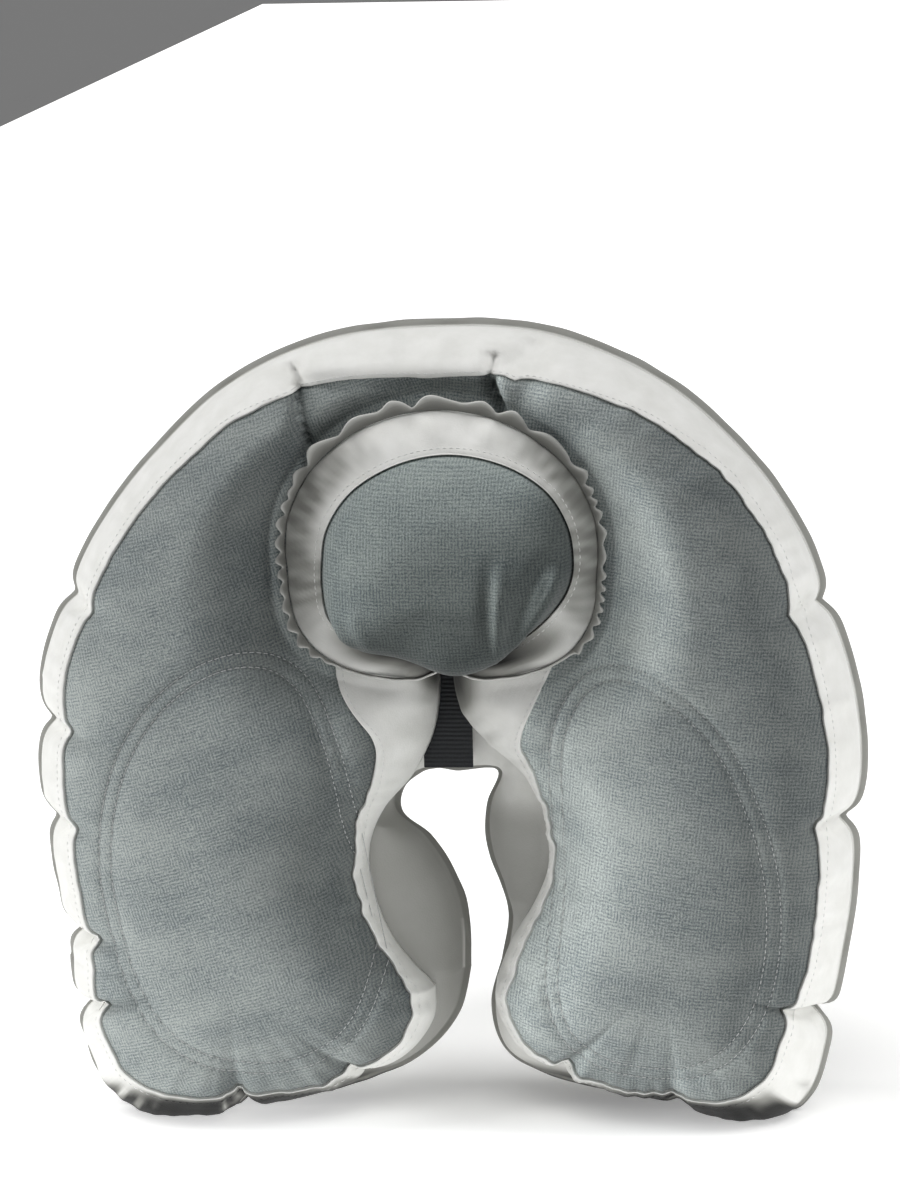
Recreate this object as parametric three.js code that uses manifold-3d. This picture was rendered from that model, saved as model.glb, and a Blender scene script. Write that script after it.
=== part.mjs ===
// Inflatable travel pillow, standing upright on the ends of its two arms.
// Millimetres. +X is to the right, +Z is up, and the soft face looks towards -Y.
// Two horseshoe air cushions lie back to back on one outer seam. The front one carries a
// grey velour face, and an oval head cushion sits in the bend of the horseshoe.
import * as THREE from 'three';
import { mergeVertices } from 'three/addons/utils/BufferGeometryUtils.js';
import Module from 'manifold-3d';

const wasm = await Module();
wasm.setup();

// Driving sizes
const GAP = 0.3;              // clearance between pieces that touch on the real pillow
const FRONT_CROWN = 62;       // how far the arms of the front cushion stand out
const REAR_CROWN = 60;        // how far the rear cushion stands out behind
const SEAM_LIP = 3;           // width of the sewn seam allowance all round the outline
const LIP_THICKNESS = 1.6;    // two layers of cloth, sewn flat
const INLAY = 2.4;            // how deep the velour panels, some 1.6 thick, are let into the cushions
const PANEL_GAP = 0.48;       // clearance round and under those panels, measured on the slope
const BAND = 12.5;            // light band between the outer seam and the velour
const TOP_BAND = 6;           // extra width of the band over the top
const TOP_SPAN = 1.6;         // how far along the bend the band is wider, in sections
const LOBE_SEAM_Y = 30;       // depth of the seam at the inner edge of the rear cushion
const BRIDGE_SEAM_Y = 16;     // depth of the same seam where it crosses behind the slit
const BRIDGE_SPAN = 5.5;      // how far along the bend that crossing reaches, in sections
const LOBE_CURVE = 14;        // least width over which a lobe curves back to its seam
// Room behind the slit for the flat tab: height of its middle, half sizes and depth
const THROAT = { z: 172, halfWidth: 45, halfHeight: 50, relief: 2.2 };

// The head cushion: centre and half sizes of its sewn edge, its back, the flat rim and the crown
const HEAD = { x: 2.8, z: 261.5, halfWidth: 68.6, halfHeight: 58.6, back: -33.95, rim: 1.2, rise: 43 };
const HEAD_LEAN = { x: 14, z: -3 };   // how far the crown lies to the side of the middle
const HEAD_OVAL = 0.81;       // velour oval, as a share of the sewn edge
const SEAT_Y = -33.6;         // the hollow in the front cushion that the head cushion lies in
const SEAT_EDGE = 1.15;       // the hollow's rim, as a share of the head cushion's edge
const SEAT_SLOPE = 62;        // how fast the hollow's wall rises, millimetres per share
const SEAT_BLEND = 12;        // how softly that wall runs into the arm, in millimetres
const TAB = { left: -12, right: 10, bottom: 156, top: 192, front: 0.35, thickness: 1.2 };

// How finely the pieces are divided
const STEPS_PER_SECTION = 3;
const FOOT_STEPS = 26;
const HEAD_STEPS = 48;
const SCALLOP_STEPS = 4;

// Sections of the horseshoe from the left foot, over the top, to the right foot. Each has the
// middle line, the outer seam, the inner edge of the front and of the rear cushion, the width
// of the light border along the inner edge, and the crown as a share of FRONT_CROWN.
const SECTIONS = [
  { spine: [-90, 78], outer: [-175.5, 70], inner: [-9, 57], rear: [3, 58], hem: 8, crown: 1 },
  { spine: [-97, 98], outer: [-179, 92], inner: [-27, 78], rear: [3, 80], hem: 3, crown: 1 },
  { spine: [-102, 118], outer: [-182, 112], inner: [-36, 101], rear: [-2, 100], hem: 3, crown: 1 },
  { spine: [-105, 138], outer: [-185, 134], inner: [-37, 121], rear: [-13, 118], hem: 4, crown: 1 },
  { spine: [-108, 158], outer: [-187, 156], inner: [-30, 138], rear: [-26, 130], hem: 8, crown: 1 },
  { spine: [-110, 178], outer: [-186, 178], inner: [-17, 153], rear: [-25, 141], hem: 14, crown: 1 },
  { spine: [-112, 200], outer: [-184, 204], inner: [-8, 170], rear: [-17, 148], hem: 22, crown: 1 },
  { spine: [-112, 226], outer: [-174, 233], inner: [-4.5, 184], rear: [-10, 150.5], hem: 42, crown: 1 },
  { spine: [-104, 254], outer: [-160, 266], inner: [-3.5, 197], rear: [-6, 151], hem: 50, crown: 0.98 },
  { spine: [-86, 279], outer: [-136, 301], inner: [-3, 207], rear: [-3.5, 151], hem: 78, crown: 0.96 },
  { spine: [-60, 297], outer: [-100, 331], inner: [-2.5, 213], rear: [-1.5, 151], hem: 90, crown: 0.9 },
  { spine: [-30, 306], outer: [-54, 350], inner: [-1.8, 217], rear: [0, 151], hem: 86, crown: 0.74 },
  { spine: [0, 309], outer: [-2, 355], inner: [0, 219], rear: [1.5, 151], hem: 84, crown: 0.7 },
  { spine: [30, 306], outer: [50, 351], inner: [1.8, 212], rear: [3.5, 151], hem: 90, crown: 0.76 },
  { spine: [60, 297], outer: [100, 329], inner: [2.5, 199], rear: [6, 151], hem: 102, crown: 0.9 },
  { spine: [85, 279], outer: [136, 298], inner: [4.5, 186], rear: [9, 151], hem: 95, crown: 0.96 },
  { spine: [102, 254], outer: [159, 264], inner: [10, 176], rear: [13, 151], hem: 54, crown: 0.98 },
  { spine: [110, 228], outer: [171, 232], inner: [20, 166], rear: [17, 150], hem: 19, crown: 1 },
  { spine: [112, 202], outer: [180, 204], inner: [32, 155], rear: [17.5, 146], hem: 9, crown: 1 },
  { spine: [113, 180], outer: [184.5, 178], inner: [40, 142], rear: [12.5, 135], hem: 4, crown: 1 },
  { spine: [113, 160], outer: [185, 156], inner: [43, 128], rear: [10.8, 123], hem: 4, crown: 1 },
  { spine: [112, 140], outer: [182, 134], inner: [43, 112], rear: [12.5, 110], hem: 5, crown: 1 },
  { spine: [110, 120], outer: [181, 112], inner: [36, 95], rear: [17, 97], hem: 6, crown: 1 },
  { spine: [106, 100], outer: [179, 92], inner: [26, 79], rear: [20.5, 82], hem: 8, crown: 1 },
  { spine: [100, 80], outer: [175, 70], inner: [19, 62], rear: [17, 62], hem: 9, crown: 1 },
];

// Outlines round the two feet, from the outer seam to the inner edge, with the width of the
// light border. What lies below the floor here is pressed flat, so it is cut away.
const LEFT_FOOT = [
  { front: [-175.5, 70], rear: [-175.5, 70], hem: 12.5 },
  { front: [-175, 52], rear: [-175, 52], hem: 12.5 },
  { front: [-171, 32], rear: [-171, 32], hem: 13.5 },
  { front: [-161, 9], rear: [-161, 9], hem: 16 },
  { front: [-143, -5], rear: [-143, -5], hem: 19 },
  { front: [-122, -8], rear: [-122, -8], hem: 19 },
  { front: [-98, -3], rear: [-98, -3], hem: 14 },
  { front: [-75, 2], rear: [-75, 2], hem: 10 },
  { front: [-54, 8], rear: [-52, 7], hem: 8 },
  { front: [-37, 16], rear: [-33, 12], hem: 8 },
  { front: [-20, 27], rear: [-15, 22], hem: 8 },
  { front: [-10, 42], rear: [-2, 38], hem: 8 },
  { front: [-9, 57], rear: [3, 58], hem: 8 },
];
const RIGHT_FOOT = [
  { front: [175, 70], rear: [175, 70], hem: 12.5 },
  { front: [171, 50], rear: [171, 50], hem: 13 },
  { front: [167, 30], rear: [167, 30], hem: 15 },
  { front: [160, 9], rear: [160, 9], hem: 18 },
  { front: [146, -5], rear: [146, -5], hem: 19 },
  { front: [126, -7], rear: [126, -7], hem: 17 },
  { front: [104, -1], rear: [104, -1], hem: 12 },
  { front: [86, 4], rear: [86, 4], hem: 8 },
  { front: [68, 8], rear: [67, 7], hem: 8 },
  { front: [51, 14], rear: [50, 9], hem: 8 },
  { front: [35, 23], rear: [33, 13], hem: 8 },
  { front: [23, 37], rear: [17, 23], hem: 8 },
  { front: [18, 50], rear: [12, 42], hem: 8 },
  { front: [19, 62], rear: [17, 62], hem: 9 },
];

// Puckers where the seam is drawn in: place on the outline, how far in, and how wide
const PUCKERS = [
  { x: -171, z: 236, depth: 6, width: 8 },
  { x: -185, z: 179, depth: 7, width: 8 },
  { x: -184, z: 134, depth: 6, width: 8 },
  { x: -177, z: 83, depth: 9, width: 6 },
  { x: -174, z: 47, depth: 10, width: 6 },
  { x: -95, z: -5, depth: 13, width: 6 },
  { x: -38, z: 16, depth: 4, width: 6 },
  { x: 171, z: 232, depth: 5, width: 8 },
  { x: 183, z: 134, depth: 8, width: 7 },
  { x: 170, z: 44, depth: 10, width: 6 },
  { x: 98, z: -2, depth: 8, width: 6 },
  { x: 44, z: 18, depth: 5, width: 6 },
];

// Sewn pleats in the bend, where the arms meet the flatter top: place, depth of the groove, width
const PLEATS = [
  { x: -73, z: 346, depth: 9, width: 8 },
  { x: 52, z: 353, depth: 9, width: 8 },
];

const LIGHT_CLOTH = new THREE.MeshStandardMaterial({ color: 0xd9dad8, roughness: 0.92, metalness: 0 });
const GREY_VELOUR = new THREE.MeshStandardMaterial({ color: 0x78827f, roughness: 0.96, metalness: 0 });
const BLACK_WEBBING = new THREE.MeshStandardMaterial({ color: 0x2d2e30, roughness: 0.85, metalness: 0 });

const mix = (a, b, f) => a + (b - a) * f;
const clamp01 = v => Math.min(1, Math.max(0, v));
const smoothstep = (lo, hi, v) => {
  const f = clamp01((v - lo) / (hi - lo));
  return f * f * (3 - 2 * f);
};
const bump = (distance, width) => Math.exp(-((distance / width) ** 2));
const softMin = (a, b, width) => {
  const f = clamp01(0.5 + (b - a) / (2 * width));
  return mix(b, a, f) - width * f * (1 - f);
};

// A smooth curve through one column of a table, at row number t
function along(table, column, t) {
  const i = Math.min(Math.floor(t), table.length - 2);
  const f = t - i;
  const at = k => table[Math.min(Math.max(k, 0), table.length - 1)][column];
  const blend = (p0, p1, p2, p3) => 0.5 * (2 * p1 + (p2 - p0) * f
    + (2 * p0 - 5 * p1 + 4 * p2 - p3) * f * f + (3 * p1 - p0 - 3 * p2 + p3) * f * f * f);
  const [a, b, c, d] = [at(i - 1), at(i), at(i + 1), at(i + 2)];
  if (Array.isArray(b)) return b.map((_, k) => blend(a[k], b[k], c[k], d[k]));
  return blend(a, b, c, d);
}

// One row of a cushion runs from a point on its outline to the middle line. An outline is the
// closed list of rows: the outer seam, the right foot, the inner edge and the left foot.
function outlineRows(side) {
  const last = SECTIONS.length - 1;
  const steps = last * STEPS_PER_SECTION;
  const rows = [];
  const sectionRow = (i, run) => {
    const t = i / STEPS_PER_SECTION;
    const inner = run === 'inner';
    const edge = along(SECTIONS, inner ? (side === 'rear' ? 'rear' : 'inner') : 'outer', t);
    const top = bump(t - last / 2, TOP_SPAN);
    rows.push({
      edge,
      ridge: along(SECTIONS, inner ? 'inner' : 'outer', t),
      spine: along(SECTIONS, 'spine', t),
      crown: FRONT_CROWN * along(SECTIONS, 'crown', t),
      inset: inner ? along(SECTIONS, 'hem', t) : BAND + TOP_BAND * top,
      inward: inner ? 1 : 0,
      bridge: inner ? bump(t - last / 2, BRIDGE_SPAN) : 0,
    });
  };
  const footRow = (table, f, spine) => {
    const t = f * (table.length - 1);
    const inward = smoothstep(0.5, 1, f);
    rows.push({
      edge: along(table, side === 'rear' ? 'rear' : 'front', t),
      ridge: along(table, 'front', t),
      spine,
      crown: FRONT_CROWN,
      inset: along(table, 'hem', t),
      inward,
      bridge: 0,
    });
  };
  for (let i = 0; i <= steps; i += 1) sectionRow(i, 'outer');
  for (let k = 1; k < FOOT_STEPS; k += 1) {
    footRow(RIGHT_FOOT, k / FOOT_STEPS, SECTIONS[last].spine);
  }
  for (let i = steps; i >= 0; i -= 1) sectionRow(i, 'inner');
  for (let k = FOOT_STEPS - 1; k > 0; k -= 1) {
    footRow(LEFT_FOOT, k / FOOT_STEPS, SECTIONS[0].spine);
  }
  for (const row of rows) {
    drawIn(row);
    if (side === 'front') {
      moveIn(row, SEAM_LIP * (1 - row.inward));
      row.fullLength -= SEAM_LIP * (1 - row.inward);
    }
  }
  return rows;
}

// Moves the outer end of a row towards the middle line
function moveIn(row, distance) {
  const length = Math.hypot(row.spine[0] - row.edge[0], row.spine[1] - row.edge[1]);
  row.edge = row.edge.map((v, k) => v + (row.spine[k] - v) * (distance / length));
  row.length = length - distance;
}

// Puckers pull the outline towards the middle line and leave a soft groove behind them
function drawIn(row) {
  row.fullLength = Math.hypot(row.spine[0] - row.edge[0], row.spine[1] - row.edge[1]);
  const away = p => Math.hypot(row.edge[0] - p.x, row.edge[1] - p.z);
  row.tuck = Math.max(...PUCKERS.map(p => bump(away(p), p.width)));
  row.pleat = Math.max(...PLEATS.map(p => p.depth * bump(away(p), p.width)));
  moveIn(row, Math.max(...PUCKERS.map(p => p.depth * bump(away(p), p.width))));
}

const rowPoint = (row, r) => row.edge.map((v, k) => v + (row.spine[k] - v) * r);
const headShare = (x, z) => Math.hypot((x - HEAD.x) / HEAD.halfWidth, (z - HEAD.z) / HEAD.halfHeight);

// Height of a dome over a row, as a share of its crown. Where the edge is puckered the dome
// keeps its shape further in.
function domeHeight(row, r) {
  const away = (1 - r) * mix(row.length / row.fullLength, 1, (1 - r) ** 2);
  return Math.sqrt(Math.max(0, 1 - away * away)) * (1 - 0.25 * row.tuck * away ** 3);
}

// A point on the front of the front cushion, r of the way from its edge to the middle line
function frontPoint(row, r) {
  const [x, z] = rowPoint(row, r);
  const groove = row.pleat * Math.min(1, 3 * r) * (1 - r ** 6);
  const dome = Math.max(0, row.crown * domeHeight(row, r) - groove);
  const hollow = -SEAT_Y + SEAT_SLOPE * Math.max(0, headShare(x, z) - SEAT_EDGE);
  return new THREE.Vector3(x, -softMin(dome, hollow, Math.min(SEAT_BLEND, dome)), z);
}

// The place on a row, counted from its outer end, that lies nearest to the rim of the hollow
// for the head cushion, and how much that matters there, from 0 to 1
function rimPlace(row) {
  const steps = 80;
  const fromSpine = row.inward === 1;
  let best = { r: fromSpine ? 1 : 0, share: Infinity };
  for (let k = 0; k <= steps; k += 1) {
    const r = fromSpine ? 1 - k / steps : k / steps;
    const share = headShare(...rowPoint(row, r));
    if (share < best.share) best = { r, share };
    if (share < SEAT_EDGE) return { r, weight: k === 0 ? 0 : 1 };
  }
  return { r: best.r, weight: bump(best.share - SEAT_EDGE, 0.25) };
}

// Rings across a row: the light band, the edge of the velour, and the velour up to the middle
// line, with one ring on the rim of the hollow where the row crosses it
function frontRings(row) {
  const hem = Math.min(row.inset / row.length, 0.96);
  const { r, weight } = rimPlace(row);
  const span = f => mix(hem, 1, f);
  const rim = Math.min(Math.max(r, span(0.12)), span(0.92));
  const even = [span(0.2), span(0.45), span(0.72)];
  const between = row.inward === 1 ? [0, 0.33, 0.66] : [-0.66, -0.33, 0];
  const placed = between.map(f => (f < 0 ? mix(rim, hem, -f) : mix(rim, 1, f)));
  return {
    band: [0, hem * 0.45, hem],
    velour: [hem, ...even.map((v, k) => mix(v, placed[k], weight)), 1],
  };
}

// A closed piece is gathered as loose triangles whose shared corners have the same place
class Shell {
  constructor() {
    this.corners = [];
  }

  triangle(a, b, c) {
    const flat = a.distanceTo(b) < 1e-4 || b.distanceTo(c) < 1e-4 || c.distanceTo(a) < 1e-4;
    if (!flat) this.corners.push(a, b, c);
  }

  // Fills between two lists of points that run side by side
  strip(left, right, flipped = false) {
    for (let k = 0; k + 1 < left.length; k += 1) {
      const [a, b, c, d] = [left[k], right[k], right[k + 1], left[k + 1]];
      this.triangle(a, ...(flipped ? [c, b] : [b, c]));
      this.triangle(a, ...(flipped ? [d, c] : [c, d]));
    }
  }

  // Fills a closed belt of rows
  belt(rows, flipped = false) {
    rows.forEach((row, i) => this.strip(row, rows[(i + 1) % rows.length], flipped));
  }

  geometry() {
    const geometry = new THREE.BufferGeometry();
    const numbers = this.corners.flatMap(p => [p.x, p.y, p.z]);
    geometry.setAttribute('position', new THREE.Float32BufferAttribute(numbers, 3));
    const welded = mergeVertices(geometry, 1e-4);
    if (signedVolume(welded) < 0) turnInsideOut(welded);
    welded.computeVertexNormals();
    return welded;
  }
}

// The feet are pressed flat: whatever would reach below the floor is cut off level with it
function pressedFlat(geometry) {
  const size = 1000;
  const room = new THREE.BoxGeometry(size, size, size);
  room.translate(0, 0, size / 2);
  const cut = solid(geometry).intersect(solid(room)).getMesh();
  const flat = new THREE.BufferGeometry();
  flat.setAttribute('position', new THREE.Float32BufferAttribute(cut.vertProperties, 3));
  flat.setIndex([...cut.triVerts]);
  flat.computeVertexNormals();
  return flat;
}

function solid(geometry) {
  const bare = geometry.clone();
  bare.deleteAttribute('normal');
  bare.deleteAttribute('uv');
  const welded = mergeVertices(bare, 1e-4);
  return new wasm.Manifold(new wasm.Mesh({
    numProp: 3,
    vertProperties: new Float32Array(welded.getAttribute('position').array),
    triVerts: new Uint32Array(welded.getIndex().array),
  }));
}

function signedVolume(geometry) {
  const at = geometry.getAttribute('position');
  const index = geometry.getIndex();
  const corner = k => new THREE.Vector3().fromBufferAttribute(at, index.getX(k));
  let volume = 0;
  for (let k = 0; k < index.count; k += 3) {
    volume += corner(k).dot(corner(k + 1).cross(corner(k + 2))) / 6;
  }
  return volume;
}

function turnInsideOut(geometry) {
  const index = geometry.getIndex();
  for (let k = 0; k < index.count; k += 3) {
    const first = index.getX(k);
    index.setX(k, index.getX(k + 1));
    index.setX(k + 1, first);
  }
}

// Layers under a face all lie straight behind it, so that they never cross
const behindFace = (p, depth) => new THREE.Vector3(p.x, p.y + depth, p.z);

// A face of rows with a border of cloth round it: the border and the face's bed make the front
// of a cushion, and the face becomes a thin panel that lies in the bed
function inlaidFront(cushion, border, face) {
  const bed = face.map(row => row.map(p => behindFace(p, INLAY)));
  cushion.belt(border);
  cushion.belt(face.map((row, i) => [row[0], bed[i][0]]));
  cushion.belt(bed);
  const panel = new Shell();
  const drawnIn = face.map(row => {
    const share = Math.min(0.4, PANEL_GAP / row[0].distanceTo(row[1]));
    return [row[0].clone().lerp(row[1], share), ...row.slice(1)];
  });
  const top = drawnIn.map(row => row.map(p => behindFace(p, GAP)));
  const under = drawnIn.map(row => row.map(p => behindFace(p, INLAY - PANEL_GAP)));
  panel.belt(top);
  panel.belt(under, true);
  panel.belt(top.map((row, i) => [under[i][0], row[0]]));
  return panel.geometry();
}

function frontParts() {
  const outline = outlineRows('front');
  const rings = outline.map(frontRings);
  const border = outline.map((row, i) => rings[i].band.map(r => frontPoint(row, r)));
  const face = outline.map((row, i) => rings[i].velour.map(r => frontPoint(row, r)));
  const cushion = new Shell();
  const velour = inlaidFront(cushion, border, face);
  const spinePoint = row => new THREE.Vector3(row.spine[0], 0, row.spine[1]);
  cushion.belt(outline.map((row, i) => [border[i][0], spinePoint(row)]), true);
  return { cushion: cushion.geometry(), velour };
}

// The rear cushion: a sewn lip all round, a flat front that the other cushion lies on, lobes
// that curve back to their own seam at the inner edge, and a domed back
function rearCushion() {
  const fronts = [];
  const backs = [];
  for (const row of outlineRows('rear')) {
    const innerSeam = mix(LOBE_SEAM_Y, BRIDGE_SEAM_Y, row.bridge);
    const seam = mix(GAP + LIP_THICKNESS / 2, innerSeam, row.inward);
    const at = (distance, y) => {
      const [x, z] = rowPoint(row, distance / row.length);
      return new THREE.Vector3(x, y, z);
    };
    // The flat face gives way behind the slit, where the tab lies
    const flat = distance => {
      const [x, z] = rowPoint(row, distance / row.length);
      const away = Math.hypot(x / THROAT.halfWidth, (z - THROAT.z) / THROAT.halfHeight);
      return GAP + THROAT.relief * bump(away, 1);
    };
    const ridge = Math.hypot(row.ridge[0] - row.edge[0], row.ridge[1] - row.edge[1]);
    const reach = Math.max(ridge, LOBE_CURVE);
    const forward = distance => {
      const away = 1 - clamp01((distance - SEAM_LIP) / reach);
      const start = Math.max(seam - LIP_THICKNESS / 2, flat(distance));
      return mix(flat(distance), start, 1 - Math.sqrt(1 - away * away));
    };
    const root = seam + LIP_THICKNESS * 0.7;
    const behind = r => mix(root, REAR_CROWN, r === 0 ? 0 : domeHeight(row, r));
    const lipFront = at(0, Math.max(seam - LIP_THICKNESS / 2, flat(0)));
    const lipBack = at(0, Math.max(seam + LIP_THICKNESS / 2, flat(0) + LIP_THICKNESS));
    const forwardRings = [0, 0.25, 1].map(f => SEAM_LIP + reach * f);
    const behindRings = [0, 0.035, 0.14, 0.32, 0.62, 1];
    const start = SEAM_LIP / row.length;
    fronts.push([lipFront, ...forwardRings.map(d => at(d, forward(d))), at(row.length, flat(row.length))]);
    backs.push([lipFront, lipBack, ...behindRings.map(r => at(mix(start, 1, r) * row.length, behind(r)))]);
  }
  const shell = new Shell();
  shell.belt(fronts);
  shell.belt(backs, true);
  return shell.geometry();
}

// A point of the head cushion's dome, at a turn round its oval and a share of its half size
function headPoint(turn, share) {
  const rise = HEAD.rise * Math.sqrt(Math.max(0, 1 - share ** 2.4));
  return new THREE.Vector3(
    HEAD.x + HEAD_LEAN.x * (1 - share * share) + HEAD.halfWidth * share * Math.cos(turn),
    HEAD.back - HEAD.rim - rise,
    HEAD.z + HEAD_LEAN.z * (1 - share * share) + HEAD.halfHeight * share * Math.sin(turn),
  );
}

function headParts() {
  const turns = Array.from({ length: HEAD_STEPS }, (_, i) => (2 * Math.PI * i) / HEAD_STEPS);
  const border = turns.map(turn => [1, 0.975, 0.9, HEAD_OVAL].map(s => headPoint(turn, s)));
  const face = turns.map(turn => [HEAD_OVAL, 0.62, 0.36, 0].map(s => headPoint(turn, s)));
  const cushion = new Shell();
  const velour = inlaidFront(cushion, border, face);
  const rim = border.map(row => new THREE.Vector3(row[0].x, HEAD.back, row[0].z));
  const middle = new THREE.Vector3(HEAD.x, HEAD.back, HEAD.z);
  cushion.belt(border.map((row, i) => [rim[i], row[0]]));
  cushion.belt(rim.map(p => [p, middle]), true);
  return { cushion: cushion.geometry(), velour };
}

// The gathered edge round the head cushion: scallops are wide over the top and narrow at the sides
function gatheredEdge() {
  const runs = [
    { from: -0.25, to: 0.5, scallops: 7, swing: 1.1 },
    { from: 0.5, to: 2.64, scallops: 8, swing: 2.6 },
    { from: 2.64, to: 3.9, scallops: 8, swing: 1.5 },
    { from: 3.9, to: 2 * Math.PI - 0.25, scallops: 8, swing: 0.9 },
  ];
  const rows = [];
  const thickness = 1.1;
  const width = 5;
  const rootY = HEAD.back - HEAD.rim;
  for (const run of runs) {
    const steps = run.scallops * SCALLOP_STEPS;
    for (let k = 0; k < steps; k += 1) {
      const turn = mix(run.from, run.to, k / steps);
      const wave = Math.cos((2 * Math.PI * k) / SCALLOP_STEPS);
      const ray = new THREE.Vector3(
        HEAD.halfWidth * Math.cos(turn),
        0,
        HEAD.halfHeight * Math.sin(turn),
      );
      const out = ray.clone().normalize();
      const at = (distance, y) => new THREE.Vector3(HEAD.x, y, HEAD.z)
        .add(ray)
        .addScaledVector(out, distance);
      const tip = width + run.swing * wave;
      const tipY = rootY - 1.6 - 0.9 * wave;
      rows.push([
        at(GAP, rootY),
        at(tip, tipY + thickness),
        at(tip, tipY),
        at(GAP, rootY - thickness),
        at(GAP, rootY),
      ]);
    }
  }
  const shell = new Shell();
  shell.belt(rows);
  return shell.geometry();
}

// The flat tab behind the slit, with clipped lower corners
function flatTab() {
  const clip = 3;
  const shape = new THREE.Shape();
  shape.moveTo(TAB.left, TAB.top);
  shape.lineTo(TAB.left, TAB.bottom + clip);
  shape.lineTo(TAB.left + clip, TAB.bottom);
  shape.lineTo(TAB.right - clip, TAB.bottom);
  shape.lineTo(TAB.right, TAB.bottom + clip);
  shape.lineTo(TAB.right, TAB.top);
  shape.closePath();
  const geometry = new THREE.ExtrudeGeometry(shape, { depth: TAB.thickness, bevelEnabled: false });
  geometry.rotateX(Math.PI / 2);
  geometry.translate(0, TAB.front + TAB.thickness, 0);
  return geometry;
}

function piece(name, geometry, material) {
  const mesh = new THREE.Mesh(geometry, material.clone());
  mesh.name = name;
  return mesh;
}

const pieces = new THREE.Group();
const front = frontParts();
const head = headParts();
pieces.add(piece('front_cushion', pressedFlat(front.cushion), LIGHT_CLOTH));
pieces.add(piece('rear_cushion', pressedFlat(rearCushion()), LIGHT_CLOTH));
pieces.add(piece('velour_face', front.velour, GREY_VELOUR));
pieces.add(piece('head_cushion', head.cushion, LIGHT_CLOTH));
pieces.add(piece('head_velour', head.velour, GREY_VELOUR));
pieces.add(piece('gathered_edge', gatheredEdge(), LIGHT_CLOTH));
pieces.add(piece('flat_tab', flatTab(), BLACK_WEBBING));

// The origin is on the floor, under the middle of the whole pillow
const middle = new THREE.Box3().setFromObject(pieces).getCenter(new THREE.Vector3());
pieces.position.set(-middle.x, -middle.y, 0);
const pillow = new THREE.Group();
pillow.add(pieces);

export default pillow;
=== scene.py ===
# %% [markdown]
# An inflatable travel pillow stands on the ends of its two arms. Two horseshoe air chambers are
# sewn back to back in light brushed cloth, the front one carries a grey velour face, and a small
# oval cushion sits in the bend. The CAD model gives the true size and place of every piece. This
# script dresses each one: soft cloth, puckered seams, stitches and pile.

# %% Load the frame
import math

import bmesh
import bpy
import numpy as np
from mathutils import Matrix, Vector
from mathutils.bvhtree import BVHTree


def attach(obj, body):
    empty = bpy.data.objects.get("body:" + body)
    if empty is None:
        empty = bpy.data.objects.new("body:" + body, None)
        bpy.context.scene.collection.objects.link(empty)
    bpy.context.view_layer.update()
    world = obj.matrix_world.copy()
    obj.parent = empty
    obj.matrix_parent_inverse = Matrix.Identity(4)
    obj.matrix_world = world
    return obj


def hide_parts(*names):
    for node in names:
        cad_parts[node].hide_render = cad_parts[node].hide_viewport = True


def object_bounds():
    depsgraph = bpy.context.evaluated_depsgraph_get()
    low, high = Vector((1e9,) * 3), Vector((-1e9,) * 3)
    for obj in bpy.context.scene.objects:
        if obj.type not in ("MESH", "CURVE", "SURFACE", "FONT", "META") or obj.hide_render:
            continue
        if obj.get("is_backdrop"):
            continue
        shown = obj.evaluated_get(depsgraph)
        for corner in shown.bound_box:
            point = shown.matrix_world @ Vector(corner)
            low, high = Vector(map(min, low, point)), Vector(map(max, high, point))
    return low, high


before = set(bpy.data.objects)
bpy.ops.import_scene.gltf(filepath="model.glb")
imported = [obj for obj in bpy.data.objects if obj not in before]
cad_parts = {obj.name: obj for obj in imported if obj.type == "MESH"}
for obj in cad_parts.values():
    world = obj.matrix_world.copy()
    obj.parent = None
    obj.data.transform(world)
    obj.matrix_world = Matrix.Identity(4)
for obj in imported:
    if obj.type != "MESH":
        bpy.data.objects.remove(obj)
cad_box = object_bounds()
print("CAD box", [tuple(round(v, 4) for v in corner) for corner in cad_box])

# %% [markdown]
# Sizes are in millimetres, as a pattern cutter would write them, and the same as in the CAD
# model. The horseshoe is described by sections across it, from the left foot over the top to the
# right foot. Each row has the middle line, the outer seam, the inner edge of the front and of the
# rear cushion, the width of the light border on the inner side, and how full the arm is there.

# %% Sizes and tables
MM = 0.001
SHIFT = np.array([0.878, 8.925, 0.0])  # from the pattern's own origin to the frame's
FRONT_CROWN, REAR_CROWN = 62.0, 60.0
SEAM_LIP, LIP_THICKNESS = 3.0, 1.6
LOBE_SEAM_Y, BRIDGE_SEAM_Y, BRIDGE_SPAN, LOBE_CURVE = 30.0, 16.0, 5.5, 14.0
GAP = 0.3
# Width of the light border on the outer side, section by section
BORDER_WIDTHS = [
    15, 15.5, 16, 16, 16, 16, 16, 15.5, 15, 14, 13.5, 16, 18,
    16.5, 12, 9, 9.5, 11, 12, 12, 12, 12, 12.5, 12.5, 12.5,
]

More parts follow.
